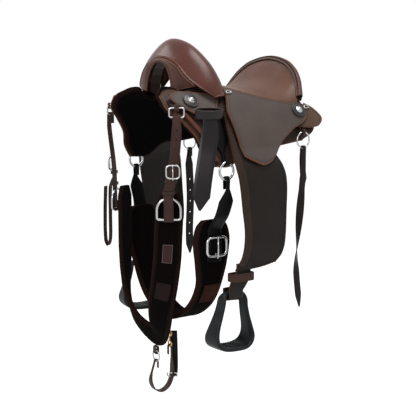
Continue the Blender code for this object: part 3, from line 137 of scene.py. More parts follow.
# %% A mesh from arrays
def build(name, points, quads, tris=None, across=None, edge=None, mirror=False):
    """A mesh object from arrays, with its faces turned outwards: the sign of the enclosed volume says which way."""
    p = np.asarray(points, float) * ((-1, 1, 1) if mirror else (1, 1, 1))
    q = np.asarray(quads, np.int64).reshape(-1, 4)
    t = np.zeros((0, 3), np.int64) if tris is None else np.asarray(tris, np.int64).reshape(-1, 3)
    corners = np.concatenate([q[:, [0, 1, 2]], q[:, [0, 2, 3]], t])
    volume = np.einsum("ij,ij->", p[corners[:, 0]], np.cross(p[corners[:, 1]], p[corners[:, 2]]))
    if volume < 0:
        q, t = q[:, ::-1], t[:, ::-1]
    mesh = bpy.data.meshes.new(name)
    mesh.vertices.add(len(p))
    mesh.vertices.foreach_set("co", p.astype(np.float32).ravel())
    loops = np.concatenate([q.ravel(), t.ravel()]).astype(np.int32)
    mesh.loops.add(len(loops))
    mesh.loops.foreach_set("vertex_index", loops)
    sizes = np.concatenate([np.full(len(q), 4), np.full(len(t), 3)])
    mesh.polygons.add(len(sizes))
    mesh.polygons.foreach_set("loop_start", np.concatenate([[0], np.cumsum(sizes)[:-1]]).astype(np.int32))
    mesh.update(calc_edges=True)
    mesh.validate()
    if across is not None:
        layer = mesh.uv_layers.new(name="lay")
        layer.data.foreach_set("uv", np.asarray(across, np.float32)[loops].ravel())
    if edge is not None:
        mesh.attributes.new("edge", "FLOAT", "POINT").data.foreach_set("value", np.asarray(edge, np.float32))
    mesh.shade_smooth()
    obj = bpy.data.objects.new(name, mesh)
    bpy.context.scene.collection.objects.link(obj)
    return obj


def rings_to_faces(count, around, closed):
    """Quads between rings of points, ring after ring, and end fans onto two more points where the run is open."""
    i, j = np.meshgrid(np.arange(count if closed else count - 1), np.arange(around), indexing="ij")
    a, b = i % count * around, (i + 1) % count * around
    k = (j + 1) % around
    quads = np.stack([a + j, a + k, b + k, b + j], -1).reshape(-1, 4)
    if closed:
        return quads, None
    j = np.arange(around)
    k = (j + 1) % around
    last = (count - 1) * around
    tris = np.concatenate([
        np.stack([k, j, np.full(around, count * around)], -1),
        np.stack([last + j, last + k, np.full(around, count * around + 1)], -1),
    ])
    return quads, tris


print("faces round four rings of six points:", len(rings_to_faces(4, 6, False)[0]))

# %% [markdown]
# Most of the saddle is cut from sheets of leather three to five millimetres thick. Blender's Solidify could thicken a
# sheet, but its rim would be square. A cut edge is rubbed round with a damp cloth, so the rim here is half a circle.

# %% A sheet of leather
def normals(p, away):
    """The cross product of the grid's two directions, turned away from the point or points given."""
    n = unit(np.cross(np.gradient(p, axis=0), np.gradient(p, axis=1)))
    return n if np.sum(n * (p - away)) > 0 else -n


def leather(name, p, thick, away, mirror=False, crown=None, rounds=4):
    """A sheet: one skin on the grid, one a thickness above it, and a half-round rim between their borders."""
    columns, rows = p.shape[:2]
    n = normals(p, away)
    top = p + n * thick
    bottom = p.copy()
    if crown is not None:
        bottom -= n * crown[..., None]
    run = np.concatenate([
        np.stack([np.arange(columns), np.zeros(columns, int)], -1),
        np.stack([np.full(rows - 1, columns - 1), np.arange(1, rows)], -1),
        np.stack([np.arange(columns - 2, -1, -1), np.full(columns - 1, rows - 1)], -1),
        np.stack([np.zeros(rows - 2, int), np.arange(rows - 2, 0, -1)], -1),
    ])
    inner = np.stack([np.clip(run[:, 0], 1, columns - 2), np.clip(run[:, 1], 1, rows - 2)], -1)
    rim, rim_n = p[run[:, 0], run[:, 1]], n[run[:, 0], run[:, 1]]
    out = rim - p[inner[:, 0], inner[:, 1]]
    out = unit(out - rim_n * np.sum(out * rim_n, -1, keepdims=True))
    angle = np.linspace(0, math.pi, rounds + 2)[1:-1]
    arcs = [rim + rim_n * thick * (0.5 + 0.5 * math.cos(a)) + out * thick * 0.5 * math.sin(a) for a in angle]
    along_u = np.cumsum(np.linalg.norm(np.diff(p, axis=0, prepend=p[:1]), axis=2), axis=0)
    along_v = np.cumsum(np.linalg.norm(np.diff(p, axis=1, prepend=p[:, :1]), axis=2), axis=1)
    inset = np.minimum(np.minimum(along_u, along_u[-1:] - along_u), np.minimum(along_v, along_v[:, -1:] - along_v))
    size = columns * rows
    points = np.concatenate([top.reshape(-1, 3), bottom.reshape(-1, 3)] + arcs)
    edge = np.concatenate([inset.ravel(), inset.ravel(), np.zeros(len(run) * rounds)])
    flat = np.stack([along_u, along_v], -1)
    rim_flat = flat[run[:, 0], run[:, 1]]
    lay = np.concatenate([flat.reshape(-1, 2)] * 2 + [rim_flat] * rounds)
    i, j = np.meshgrid(np.arange(columns - 1), np.arange(rows - 1), indexing="ij")
    a = (i * rows + j).ravel()
    skin = np.stack([a, a + rows, a + rows + 1, a + 1], -1)
    border = run[:, 0] * rows + run[:, 1]
    levels = [border] + [2 * size + k * len(run) + np.arange(len(run)) for k in range(rounds)] + [size + border]
    walls = [np.stack([x, y, np.roll(y, -1), np.roll(x, -1)], -1) for x, y in zip(levels, levels[1:])]
    # One skin's faces run against the other's, and the rim's with the upper skin's
    quads = np.concatenate([skin, size + skin[:, ::-1]] + [w[:, ::-1] for w in walls])
    return build(name, points, quads, across=lay, edge=edge, mirror=mirror)


flat = np.stack([*grid(3, 3), np.zeros((3, 3))], -1)
print("which way a flat sheet's face points:", normals(flat, np.array([0, 0, -1.0]))[1, 1])

# %% [markdown]
# Rings, buckles and tongues are bent from round wire, and straps are long thin rectangles with rounded edges. Both
# could be curve objects with a bevel. As one section carried along a path, a strap can also change its width, twist
# by a given amount and keep its own length for the places of its holes.

# %% Wire and straps
TAPER = 0.55


def rod(name, path, plane, radius, closed=True, sides=14, mirror=False):
    """A round wire: circles spanned by the plane's normal and the path's sideways direction, smaller at free ends."""
    c = np.asarray(path, float)
    if closed:
        along = unit(np.roll(c, -1, axis=0) - np.roll(c, 1, axis=0))
    else:
        along = unit(np.gradient(c, axis=0))
    up = unit(np.broadcast_to(np.asarray(plane, float), c.shape))
    side = unit(np.cross(up, along))
    phi = np.linspace(0, 2 * math.pi, sides, endpoint=False)
    r = np.full(len(c), radius, float)
    if not closed:
        r[[0, -1]] *= TAPER
    spoke = np.cos(phi)[None, :, None] * side[:, None] + np.sin(phi)[None, :, None] * up[:, None]
    rings = c[:, None] + r[:, None, None] * spoke
    quads, tris = rings_to_faces(len(c), sides, closed)
    points = rings.reshape(-1, 3)
    if not closed:
        points = np.concatenate([points, c[:1], c[-1:]])
    return build(name, points, quads, tris, mirror=mirror)


def strap(name, path, side, width, thick, steps=140, mirror=False, crown=0.0):
    """A rounded rectangle carried along a path. side and width are functions of 0 to 1, as whole arrays."""
    t = np.linspace(0, 1, steps)
    c = smooth(path, t)
    along = unit(np.gradient(c, axis=0))
    across = np.broadcast_to(np.asarray(side(t), float), c.shape)
    across = unit(across - along * np.sum(across * along, -1, keepdims=True))
    up = unit(np.cross(across, along))
    half = np.asarray(width(t), float) / 2
    r = thick * 0.46
    lead = np.concatenate([np.linspace(-1, 1, 7), [1, 1, 1], np.linspace(1, -1, 7), [-1, -1, -1]])
    reach = np.concatenate([np.zeros(7), [0.7, 1.0, 0.7], np.zeros(7), [-0.7, -1.0, -0.7]]) * r
    level = np.concatenate([np.ones(7), [0.7, 0.0, -0.7], -np.ones(7), [-0.7, 0.0, 0.7]])
    a = lead[None] * np.maximum(half - r, 1e-4)[:, None] + reach[None]
    lift = thick / 2 * level[None] * (1 + crown * (1 - lead[None] ** 2))
    rings = c[:, None] + across[:, None] * a[..., None] + up[:, None] * lift[..., None]
    quads, tris = rings_to_faces(steps, len(lead), False)
    far = np.concatenate([[0], np.cumsum(np.linalg.norm(np.diff(c, axis=0), axis=1))])
    lay = np.stack([a, np.broadcast_to(far[:, None], a.shape)], -1).reshape(-1, 2)
    edge = (half[:, None] - np.abs(a)).ravel()
    points = np.concatenate([rings.reshape(-1, 3), c[:1], c[-1:]])
    lay = np.concatenate([lay, [[0, 0], [0, far[-1]]]])
    return build(name, points, quads, tris, lay, np.concatenate([edge, [0, 0]]), mirror=mirror)


def run_length(path):
    """The length of the smooth curve through the points, in millimetres: the sum of 2000 short chords."""
    chords = np.diff(smooth(path, np.linspace(0, 1, 2001)), axis=0)
    return round(1000 * float(np.linalg.norm(chords, axis=1).sum()), 1)


print("a free end of wire keeps", TAPER, "of its radius")

# %% [markdown]
# Saddlers sew with waxed thread, about four millimetres to a stitch. A texture could draw it, but thread stands proud
# of leather and casts small shadows. So each stitch is a small bead of four rings of six points, and one product of
# arrays copies it to every place in the row.

# %% Stitches
def stitches(name, path, up, pitch=0.0042, size=(0.0030, 0.0008, 0.00055), mirror=False):
    """A row of thread stitches: one small six-sided bead, copied to each place as an array product."""
    c = np.asarray(path, float)
    far = np.concatenate([[0], np.cumsum(np.linalg.norm(np.diff(c, axis=0), axis=1))])
    at = np.arange(pitch, far[-1] - pitch / 2, pitch)
    place = np.stack([np.interp(at, far, c[:, k]) for k in range(3)], -1)
    lead = np.stack([np.interp(at, far, np.gradient(c, axis=0)[:, k]) for k in range(3)], -1)
    above = np.stack([np.interp(at, far, np.broadcast_to(up, c.shape)[:, k]) for k in range(3)], -1)
    lead, above = unit(lead), unit(above)
    beside = np.cross(above, lead)
    phi = np.linspace(0, 2 * math.pi, 6, endpoint=False)
    x = np.repeat([-0.5, -0.28, 0.28, 0.5], 6)
    r = np.repeat([0.35, 1.0, 1.0, 0.35], 6)
    y, z = np.tile(np.cos(phi), 4) * r, np.tile(np.sin(phi), 4) * r
    ends = np.array([[-0.56, 0, 0], [0.56, 0, 0]])
    bead = np.concatenate([np.stack([x, y, z], -1), ends]) * size
    points = (place[:, None] + bead[None, :, :1] * lead[:, None] + bead[None, :, 1:2] * beside[:, None]
              + bead[None, :, 2:] * above[:, None])
    quads, tris = rings_to_faces(4, 6, False)
    hop = np.arange(len(at))[:, None, None] * len(bead)
    return build(name, points.reshape(-1, 3), (quads[None] + hop).reshape(-1, 4), (tris[None] + hop).reshape(-1, 3),
                 mirror=mirror)


phi = np.linspace(0, 2 * math.pi, 6, endpoint=False)
print("a bead's six sides, in degrees:", np.degrees(phi).round())

# %% [markdown]
# A finish that several leathers share is built once, as a shader node group with named inputs and outputs. Nodes
# could be copied into each material instead, but then a change would have to be made twenty times. Five short helpers
# write the nodes down in one line each.

# %% Node helpers
def group(name, inputs, outputs):
    """An empty shader group with these sockets, and its input and output nodes."""
    tree = bpy.data.node_groups.new(name, "ShaderNodeTree")
    for label, kind, value in inputs:
        socket = tree.interface.new_socket(label, in_out="INPUT", socket_type=kind)
        if value is not None:
            socket.default_value = value
    for label, kind in outputs:
        tree.interface.new_socket(label, in_out="OUTPUT", socket_type=kind)
    return tree, tree.nodes.new("NodeGroupInput"), tree.nodes.new("NodeGroupOutput")


def node(tree, kind, links=(), **values):
    """A node with its properties and inputs set. A tuple in links joins an output to the named input."""
    made = tree.nodes.new(kind)
    for key, value in values.items():
        setattr(made, key, value)
    for socket, source in links:
        if isinstance(source, (int, float, tuple)):
            made.inputs[socket].default_value = source
        else:
            tree.links.new(source, made.inputs[socket])
    return made


def maths(tree, operation, a, b=0.0):
    """One sum, product or comparison of two values."""
    return node(tree, "ShaderNodeMath", [(0, a), (1, b)], operation=operation).outputs[0]


def noise(tree, place, scale, detail, rough, bend=0.0):
    """Blender's noise at that many features to the metre, with that many finer layers and that roughness."""
    return node(tree, "ShaderNodeTexNoise", [("Vector", place), ("Scale", scale), ("Detail", detail),
                                             ("Roughness", rough), ("Distortion", bend)]).outputs["Fac"]


def ramp(tree, value, low, high):
    """0 at low, 1 at high, smooth between."""
    return node(tree, "ShaderNodeMapRange", [("Value", value), ("From Min", low), ("From Max", high)],
                interpolation_type="SMOOTHSTEP").outputs[0]


print("helpers:", [tool.__name__ for tool in (group, node, maths, noise, ramp)])

# %% [markdown]
# Leather is never one colour. It has a grain of small cells, a slow cloud of darker and lighter hide, and scuffs. A
# photograph of leather could give all three, but procedural noise needs no file and has no seams.

# %% Hide, as a group
def hide_group():
    """Grain height from fine cells and wrinkles, and a slow tone from broad noise."""
    tree, given, out = group("hide", [("Grain", "NodeSocketFloat", 1400.0)],
                             [("Height", "NodeSocketFloat"), ("Tone", "NodeSocketFloat"), ("Scuff", "NodeSocketFloat")])
    place = node(tree, "ShaderNodeTexCoord").outputs["Object"]
    cells = node(tree, "ShaderNodeTexVoronoi", [("Vector", place), ("Scale", given.outputs["Grain"])],
                 feature="SMOOTH_F1")
    folds = noise(tree, place, 260.0, 6.0, 0.6)
    clouds = noise(tree, place, 14.0, 5.0, 0.55)
    scuffs = noise(tree, place, 70.0, 8.0, 0.75)
    height = maths(tree, "ADD", maths(tree, "MULTIPLY", cells.outputs["Distance"], 0.55),
                   maths(tree, "MULTIPLY", folds, 0.45))
    tree.links.new(height, out.inputs["Height"])
    tree.links.new(ramp(tree, clouds, 0.32, 0.68), out.inputs["Tone"])
    tree.links.new(ramp(tree, scuffs, 0.56, 0.74), out.inputs["Scuff"])
    return tree


HIDE = hide_group()
print("hide gives", [socket.name for socket in HIDE.interface.items_tree if socket.in_out == "OUTPUT"])

# %% [markdown]
# Where leather is cut, the dye is thinner, and a saddler presses a crease a little inside the edge. Painting this by
# hand would take a picture for each piece. The mesh tools stored each point's distance from the edge instead, and
# this group turns it into a mask and a groove.

# %% Rim, as a group
CREASE_HALF = 0.0009


def rim_group():
    """A mask that is 1 within Reach of the stored edge, and a groove a little further in."""
    tree, given, out = group("rim", [("Reach", "NodeSocketFloat", 0.004), ("Groove", "NodeSocketFloat", 0.009)],
                             [("Mask", "NodeSocketFloat"), ("Dip", "NodeSocketFloat")])
    far = node(tree, "ShaderNodeAttribute", attribute_name="edge").outputs["Fac"]
    near = maths(tree, "SUBTRACT", 1.0, ramp(tree, far, 0.0, given.outputs["Reach"]))
    away = maths(tree, "ABSOLUTE", maths(tree, "SUBTRACT", far, given.outputs["Groove"]))
    dip = maths(tree, "SUBTRACT", 1.0, ramp(tree, away, 0.0, CREASE_HALF))
    tree.links.new(near, out.inputs["Mask"])
    tree.links.new(dip, out.inputs["Dip"])
    return tree


RIM = rim_group()
print("the crease is", 2000 * CREASE_HALF, "mm wide")

# %% [markdown]
# Straps have holes punched down the middle for the buckle's tongue. They could be cut from the mesh, which needs many
# more faces. On a strap this thin a round see-through spot does as well, placed by the strap's own length.

# %% Holes, as a group
HOLE_ROOM = 0.006


def holes_group():
    """Punched holes down a strap's middle: the distance from the nearest centre, between a first and last place."""
    tree, given, out = group("holes", [("First", "NodeSocketFloat", 0.0), ("Last", "NodeSocketFloat", 0.0),
                                       ("Pitch", "NodeSocketFloat", 0.03), ("Radius", "NodeSocketFloat", 0.0025)],
                             [("Mask", "NodeSocketFloat")])
    lay = node(tree, "ShaderNodeSeparateXYZ", [("Vector", node(tree, "ShaderNodeUVMap", uv_map="lay").outputs[0])])
    along = maths(tree, "SUBTRACT", lay.outputs["Y"], given.outputs["First"])
    turn = maths(tree, "DIVIDE", along, given.outputs["Pitch"])
    off = maths(tree, "MULTIPLY", maths(tree, "SUBTRACT", turn, maths(tree, "ROUND", turn)), given.outputs["Pitch"])
    square = maths(tree, "MULTIPLY", off, off)
    away = maths(tree, "SQRT", maths(tree, "ADD", square, maths(tree, "MULTIPLY", lay.outputs["X"], lay.outputs["X"])))
    inside = maths(tree, "LESS_THAN", away, given.outputs["Radius"])
    after = maths(tree, "GREATER_THAN", lay.outputs["Y"], maths(tree, "SUBTRACT", given.outputs["First"], HOLE_ROOM))
    before = maths(tree, "LESS_THAN", lay.outputs["Y"], maths(tree, "ADD", given.outputs["Last"], HOLE_ROOM))
    tree.links.new(maths(tree, "MULTIPLY", inside, maths(tree, "MULTIPLY", after, before)), out.inputs["Mask"])
    return tree


HOLES = holes_group()
print("holes asks for", [socket.name for socket in HOLES.interface.items_tree if socket.in_out == "INPUT"])

# %% [markdown]
# Leather is soft to the light: it has a broad, weak shine, far weaker than a plastic's. A layered shader could say
# so, but the Principled shader with a low specular level does too, and it is one that other programs can read.

# %% Leather finish
def finish(name, colour, roughness, metallic=0.0, shine=0.14):
    """A plain Principled material, and its tree, for the finishes below to add to."""
    made = bpy.data.materials.new(name)
    made.use_nodes = True
    shader = made.node_tree.nodes["Principled BSDF"]
    shader.inputs["Base Color"].default_value = (*colour, 1)
    shader.inputs["Roughness"].default_value = roughness
    shader.inputs["Metallic"].default_value = metallic
    shader.inputs["Specular IOR Level"].default_value = 0.5 if metallic else shine
    return made, made.node_tree, shader


def mix(tree, amount, a, b):
    """Colour a where amount is 0, and b where it is 1."""
    return node(tree, "ShaderNodeMix", [("Factor", amount), (6, a), (7, b)], data_type="RGBA").outputs[2]


def shade(colour, times=1.0, plus=0.0):
    """The colour times a factor plus a little, at most 1, with its alpha."""
    return (*(min(c * times + plus, 1) for c in colour), 1.0)


def hide(name, colour, rim_colour, rough=(0.38, 0.56), grain=1400.0, bump=0.25, reach=0.004, groove=0.009, tone=0.25,
         holes=None, coat=0.0, shine=0.14):
    """Dyed leather: cloudy colour, a thinner dye at the rim, a creased groove with painted shade, grain and scuffs."""
    made, tree, shader = finish(name, colour, rough[0], shine=shine)
    skin = node(tree, "ShaderNodeGroup", node_tree=HIDE)
    skin.inputs["Grain"].default_value = grain
    rim = node(tree, "ShaderNodeGroup", node_tree=RIM)
    rim.inputs["Reach"].default_value = reach
    rim.inputs["Groove"].default_value = groove
    base = mix(tree, skin.outputs["Tone"], shade(colour, 1 - tone), shade(colour, 1 + tone))
    base = mix(tree, maths(tree, "MULTIPLY", skin.outputs["Scuff"], 0.35), base, shade(colour, 1.5, 0.006))
    base = mix(tree, rim.outputs["Mask"], base, shade(rim_colour))
    # Painted shade: the crease's groove is darkened in colour, on top of its dip in the bump below
    base = mix(tree, maths(tree, "MULTIPLY", rim.outputs["Dip"], 0.55), base, shade(colour, 0.35))
    height = maths(tree, "SUBTRACT", maths(tree, "MULTIPLY", skin.outputs["Height"], 0.4),
                   maths(tree, "MULTIPLY", rim.outputs["Dip"], 0.8))
    if holes:
        punched = node(tree, "ShaderNodeGroup", node_tree=HOLES)
        for label, value in zip(("First", "Last", "Pitch", "Radius"), holes):
            punched.inputs[label].default_value = value
        tree.links.new(maths(tree, "SUBTRACT", 1.0, punched.outputs["Mask"]), shader.inputs["Alpha"])
    tree.links.new(base, shader.inputs["Base Color"])
    rougher = maths(tree, "ADD", rough[0], maths(tree, "MULTIPLY", skin.outputs["Scuff"], rough[1] - rough[0]))
    tree.links.new(rougher, shader.inputs["Roughness"])
    lift = node(tree, "ShaderNodeBump", [("Strength", bump), ("Distance", 0.0006), ("Height", height)])
    tree.links.new(lift.outputs[0], shader.inputs["Normal"])
    shader.inputs["Coat Weight"].default_value = coat
    shader.inputs["Coat Roughness"].default_value = 0.25
    return made


print("leathers are built on the groups", HIDE.name, "and", RIM.name)

# %% [markdown]
# The pads are dense felt, the metal is plated steel or brass, and the stirrups are moulded composite. Each could be a
# single colour with a roughness, but felt has fibres, metal shows where hands have been, and composite is sandy.

# %% Felt, metal and composite finishes
def felt(name, colour, binding, reach=0.007):
    """Dense felt: short crossing fibres in colour and height, and a bound edge of another colour."""
    made, tree, shader = finish(name, colour, 0.98, shine=0.03)
    place = node(tree, "ShaderNodeTexCoord").outputs["Object"]
    fibres = noise(tree, place, 900.0, 5.0, 0.8, 1.5)
    tufts = noise(tree, place, 60.0, 4.0, 0.6)
    rim = node(tree, "ShaderNodeGroup", node_tree=RIM)
    rim.inputs["Reach"].default_value = reach
    rim.inputs["Groove"].default_value = reach + 0.003
    base = mix(tree, ramp(tree, fibres, 0.35, 0.75), shade(colour, 0.6), shade(colour, 1.8, 0.002))
    base = mix(tree, maths(tree, "GREATER_THAN", rim.outputs["Mask"], 0.02), base, shade(binding))
    tree.links.new(base, shader.inputs["Base Color"])
    height = maths(tree, "ADD", fibres, maths(tree, "MULTIPLY", tufts, 1.5))
    height = maths(tree, "SUBTRACT", height, maths(tree, "MULTIPLY", rim.outputs["Dip"], 1.2))
    lift = node(tree, "ShaderNodeBump", [("Strength", 0.35), ("Distance", 0.001), ("Height", height)])
    tree.links.new(lift.outputs[0], shader.inputs["Normal"])
    return made


def metal(name, colour, rough):
    """Plated metal: bright, with faint handling marks in its roughness."""
    made, tree, shader = finish(name, colour, rough, 1.0)
    place = node(tree, "ShaderNodeTexCoord").outputs["Object"]
    marks = noise(tree, place, 320.0, 6.0, 0.7)
    duller = maths(tree, "ADD", rough * 0.6, maths(tree, "MULTIPLY", marks, rough * 0.9))
    tree.links.new(duller, shader.inputs["Roughness"])
    wear = node(tree, "ShaderNodeBump", [("Strength", 0.05), ("Distance", 0.0003), ("Height", marks)])
    tree.links.new(wear.outputs[0], shader.inputs["Normal"])
    return made


def moulded(name, colour, rough):
    """Moulded composite: a fine sandy grain, a little paler where boots rub."""
    made, tree, shader = finish(name, colour, rough)
    place = node(tree, "ShaderNodeTexCoord").outputs["Object"]
    sand = noise(tree, place, 1500.0, 3.0, 0.7)
    rubs = noise(tree, place, 30.0, 6.0, 0.65)
    worn = ramp(tree, rubs, 0.45, 0.75)
    tree.links.new(mix(tree, worn, shade(colour), shade(colour, 1.9, 0.004)), shader.inputs["Base Color"])
    tree.links.new(maths(tree, "ADD", rough, maths(tree, "MULTIPLY", worn, 0.15)), shader.inputs["Roughness"])
    lift = node(tree, "ShaderNodeBump", [("Strength", 0.22), ("Distance", 0.0004), ("Height", sand)])
    tree.links.new(lift.outputs[0], shader.inputs["Normal"])
    return made


BRIGHT = metal("bright_steel", (0.46, 0.455, 0.46), 0.18)
BRASS = metal("snap_brass", (0.50, 0.30, 0.085), 0.26)
COMPOSITE = moulded("composite", (0.0070, 0.0082, 0.0096), 0.40)
PAD_FELT = felt("pad_felt", (0.0032, 0.0022, 0.0019), (0.0150, 0.0075, 0.0058), 0.0085)
GIRTH_FELT = felt("girth_felt", (0.0032, 0.0022, 0.0019), (0.0200, 0.0095, 0.0068), 0.012)
PANEL_FELT = felt("panel_felt", (0.0016, 0.0014, 0.0014), (0.0120, 0.0060, 0.0048), 0.0030)
print(len(bpy.data.materials), "materials")

# %% [markdown]
# The top of the saddle is smooth reddish hide, the flaps are oiled to a greyish brown with a tan rim, and the straps
# are nearly black. One leather with a tint per piece would look like painted plastic, so each use has its own colour,
# rim, grain and shine. The order is colour, rim colour, roughness, grain, bump, rim width, crease and tone.

# %% The leathers
TAN = (0.120, 0.048, 0.028)
SWELL_HIDE = hide("swell_hide", (0.082, 0.026, 0.019), (0.11, 0.040, 0.027),
                  (0.30, 0.40), 1700, 0.10, 0.003, 0.008, 0.12, coat=0.10)
BAND_HIDE = hide("band_hide", (0.070, 0.030, 0.023), TAN, (0.42, 0.52), 1500, 0.2, 0.0035)
SEAT_HIDE = hide("seat_hide", (0.100, 0.045, 0.030), (0.075, 0.031, 0.021),
                 (0.40, 0.52), 1500, 0.15, 0.003, 0.007, 0.12)
ROLL_HIDE = hide("roll_hide", (0.085, 0.036, 0.025), (0.030, 0.013, 0.010),
                 (0.38, 0.5), 1500, 0.15, 0.002, 0.006, 0.15)
FLAP_HIDE = hide("flap_hide", (0.073, 0.057, 0.050), TAN, (0.50, 0.62), 1500, 0.22, 0.0055, 0.0078, 0.10)
REAR_HIDE = hide("rear_hide", (0.085, 0.050, 0.035), TAN, (0.48, 0.6), 1500, 0.22, 0.0055, 0.0078, 0.15)
SKIRT_HIDE = hide("skirt_hide", (0.040, 0.021, 0.016), TAN, (0.45, 0.6), 1400, 0.2, 0.0075, 0.0110, 0.2)
FENDER_HIDE = hide("fender_hide", (0.0110, 0.0083, 0.0064), (0.040, 0.020, 0.013),
                   (0.48, 0.6), 1400, 0.22, 0.0032, 0.0065, 0.15)
FRONT_HIDE = hide("fender_front_hide", (0.030, 0.0165, 0.0115), (0.055, 0.026, 0.017),
                  (0.42, 0.55), 1400, 0.2, 0.0022, 0.0045, 0.15)
STRAP_HIDE = hide("strap_hide", (0.042, 0.0195, 0.0135), (0.030, 0.014, 0.010),
                  (0.45, 0.6), 1500, 0.3, 0.0016, 0.0036, 0.2)
HOLED_HIDE = hide("holed_strap_hide", (0.045, 0.0205, 0.0145), (0.030, 0.014, 0.010),
                  (0.45, 0.6), 1500, 0.3, 0.0016, 0.0036, 0.2, holes=(0.075, 0.130, 0.024, 0.0017))
TAIL_HIDE = hide("tail_hide", (0.0072, 0.0046, 0.0054), (0.004, 0.0033, 0.0033),
                 (0.30, 0.40), 1700, 0.10, 0.0016, 0.004, 0.18, coat=0.03, shine=0.20)
LATIGO_HIDE = hide("latigo_hide", (0.0026, 0.0022, 0.0022), (0.002, 0.0018, 0.0018),
                   (0.38, 0.5), 1700, 0.15, 0.0016, 0.004, 0.15, shine=0.09)
BILLET_HIDE = hide("billet_hide", (0.0070, 0.0050, 0.0045), (0.005, 0.004, 0.0035),
                   (0.38, 0.5), 1700, 0.15, 0.0014, 0.0034, 0.2, holes=(0.135, 0.310, 0.035, 0.0026))
LONG_HIDE = hide("long_strap_hide", (0.0095, 0.0065, 0.0055), (0.018, 0.009, 0.007),
                 (0.38, 0.5), 1700, 0.15, 0.0014, 0.0034, 0.2)
KEEPER_HIDE = hide("keeper_hide", (0.0075, 0.0050, 0.0040), (0.030, 0.016, 0.011),
                   (0.34, 0.46), 1500, 0.15, 0.0022, 0.005, 0.2, coat=0.05, shine=0.25)
PATCH_HIDE = hide("patch_hide", (0.036, 0.013, 0.012), (0.20, 0.15, 0.14),
                  (0.40, 0.5), 1500, 0.2, 0.0011, 0.0030, 0.15)
BOX_HIDE = hide("box_hide", (0.0095, 0.0050, 0.0040), (0.016, 0.008, 0.006),
                (0.55, 0.65), 1400, 0.2, 0.0014, 0.003, shine=0.08)
ROUGH_HIDE = hide("rough_hide", (0.036, 0.014, 0.010), (0.030, 0.012, 0.009),
                  (0.85, 0.95), 1100, 0.5, 0.002, 0.004, 0.25, shine=0.05)
TREE_HIDE = hide("tree_lining", (0.022, 0.011, 0.009), (0.022, 0.011, 0.009), (0.40, 0.55), 1400, 0.2, tone=0.2)
ROSETTE_HIDE = hide("rosette_hide", (0.010, 0.0075, 0.0065), (0.010, 0.0075, 0.0065),
                    (0.35, 0.5), 1700, 0.2, shine=0.4)
THREAD = finish("thread", (0.075, 0.040, 0.027), 0.7)[0]
DARK_THREAD = finish("dark_thread", (0.014, 0.0085, 0.0065), 0.75)[0]
print(len(bpy.data.materials), "materials")

# %% [markdown]
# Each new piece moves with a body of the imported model, and most stand in for one of its plain solids. These calls
# could stand after every piece, but a helper makes sure that none is forgotten. A second one measures what was made.

# %% Dressing and measuring
def dress(obj, look, body, slot, *nodes):
    """Gives a piece its finish, its body and the CAD nodes that it stands for. The slot is not used."""
    obj.data.materials.append(look)
    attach(obj, body)
    if nodes:
        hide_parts(*nodes)
    return obj


def tell(*starts):
    """Prints how many pieces have names that start so, and their size: highest corner minus lowest, in millimetres."""
    found = [o for o in bpy.data.objects
             if o.type == "MESH" and o.name.startswith(starts) and o.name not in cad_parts]
    points = []
    for obj in found:
        p = np.empty(3 * len(obj.data.vertices), np.float32)
        obj.data.vertices.foreach_get("co", p)
        points.append(p.reshape(-1, 3))
    p = np.concatenate(points)
    print(len(found), "pieces of", ", ".join(starts) + ":", (1000 * (p.max(0) - p.min(0))).round(), "mm")


def steady(value):
    """A function of the way along a strap that gives the same value everywhere."""
    return lambda t: value + 0 * t


SIDES = (("left", False), ("right", True))
print("sides", [side for side, mirror in SIDES])

# %% [markdown]
# A horse's side is the base of everything that lies on it. Beside the spine it slopes gently, and further down it
# steepens to nearly upright. It could be a sculpted body, but only the leather on it shows. So it is one slope that
# depends on the arc length, and each layer of leather is that surface, lifted by the layers beneath it.

# %% The horse's side
ARC = np.linspace(0.0, 0.6, 601)
TOP_SLOPE, MORE_SLOPE, SLOPE_LENGTH = math.radians(14), math.radians(66), 0.11
FLARE, FRONT_Y = 0.06, -0.245
SLOPE = TOP_SLOPE + MORE_SLOPE * (1 - np.exp(-ARC / SLOPE_LENGTH))
SIDE_X = 0.050 + np.cumsum(np.cos(SLOPE)) * ARC[1]
SIDE_Z = 0.120 - np.cumsum(np.sin(SLOPE)) * ARC[1]


def side_point(y, z, lift):
    """The point at height z on the layer at that lift: the arc length is found by repeated correction."""
    y, z, lift = np.broadcast_arrays(np.asarray(y, float), np.asarray(z, float), np.asarray(lift, float))
    slope = np.full(z.shape, 1.0)
    for _ in range(30):
        arc = np.interp(-(z - lift * np.cos(slope)), -SIDE_Z, ARC)
        slope = np.interp(arc, ARC, SLOPE)
    x = np.interp(arc, ARC, SIDE_X) + lift * np.sin(slope) + FLARE * (y - FRONT_Y)
    return np.stack([x, y, z], -1)


PANEL_THICK, SKIRT_LIFT, SKIRT_THICK, LAYER_GAP = 0.0152, 0.0170, 0.0045, 0.0009
TREE_FOOT, SEAT_THICK, FLAP_THICK, FENDER_ROOM = 0.011, 0.0035, 0.004, 0.0055
UNDER_LIFT = SKIRT_LIFT + SKIRT_THICK + LAYER_GAP + TREE_FOOT + LAYER_GAP
JOCKEY_LIFT = UNDER_LIFT + SEAT_THICK + LAYER_GAP + FENDER_ROOM
INSIDE = np.array([0.0, 0.0, -0.1])
print("a flap lies", round(JOCKEY_LIFT * 1000, 1), "mm above the horse, here", side_point(0.0, 0.0, JOCKEY_LIFT))

# %% [markdown]
# The skirts, flaps and panels are cut flat on a bench and then lie on the horse. They could be drawn as polygons and
# thickened. Four edges with a patch between give rows and columns that follow the outline, so rims and creases do
# too. The thread that holds each piece runs a few millimetres inside its edge.

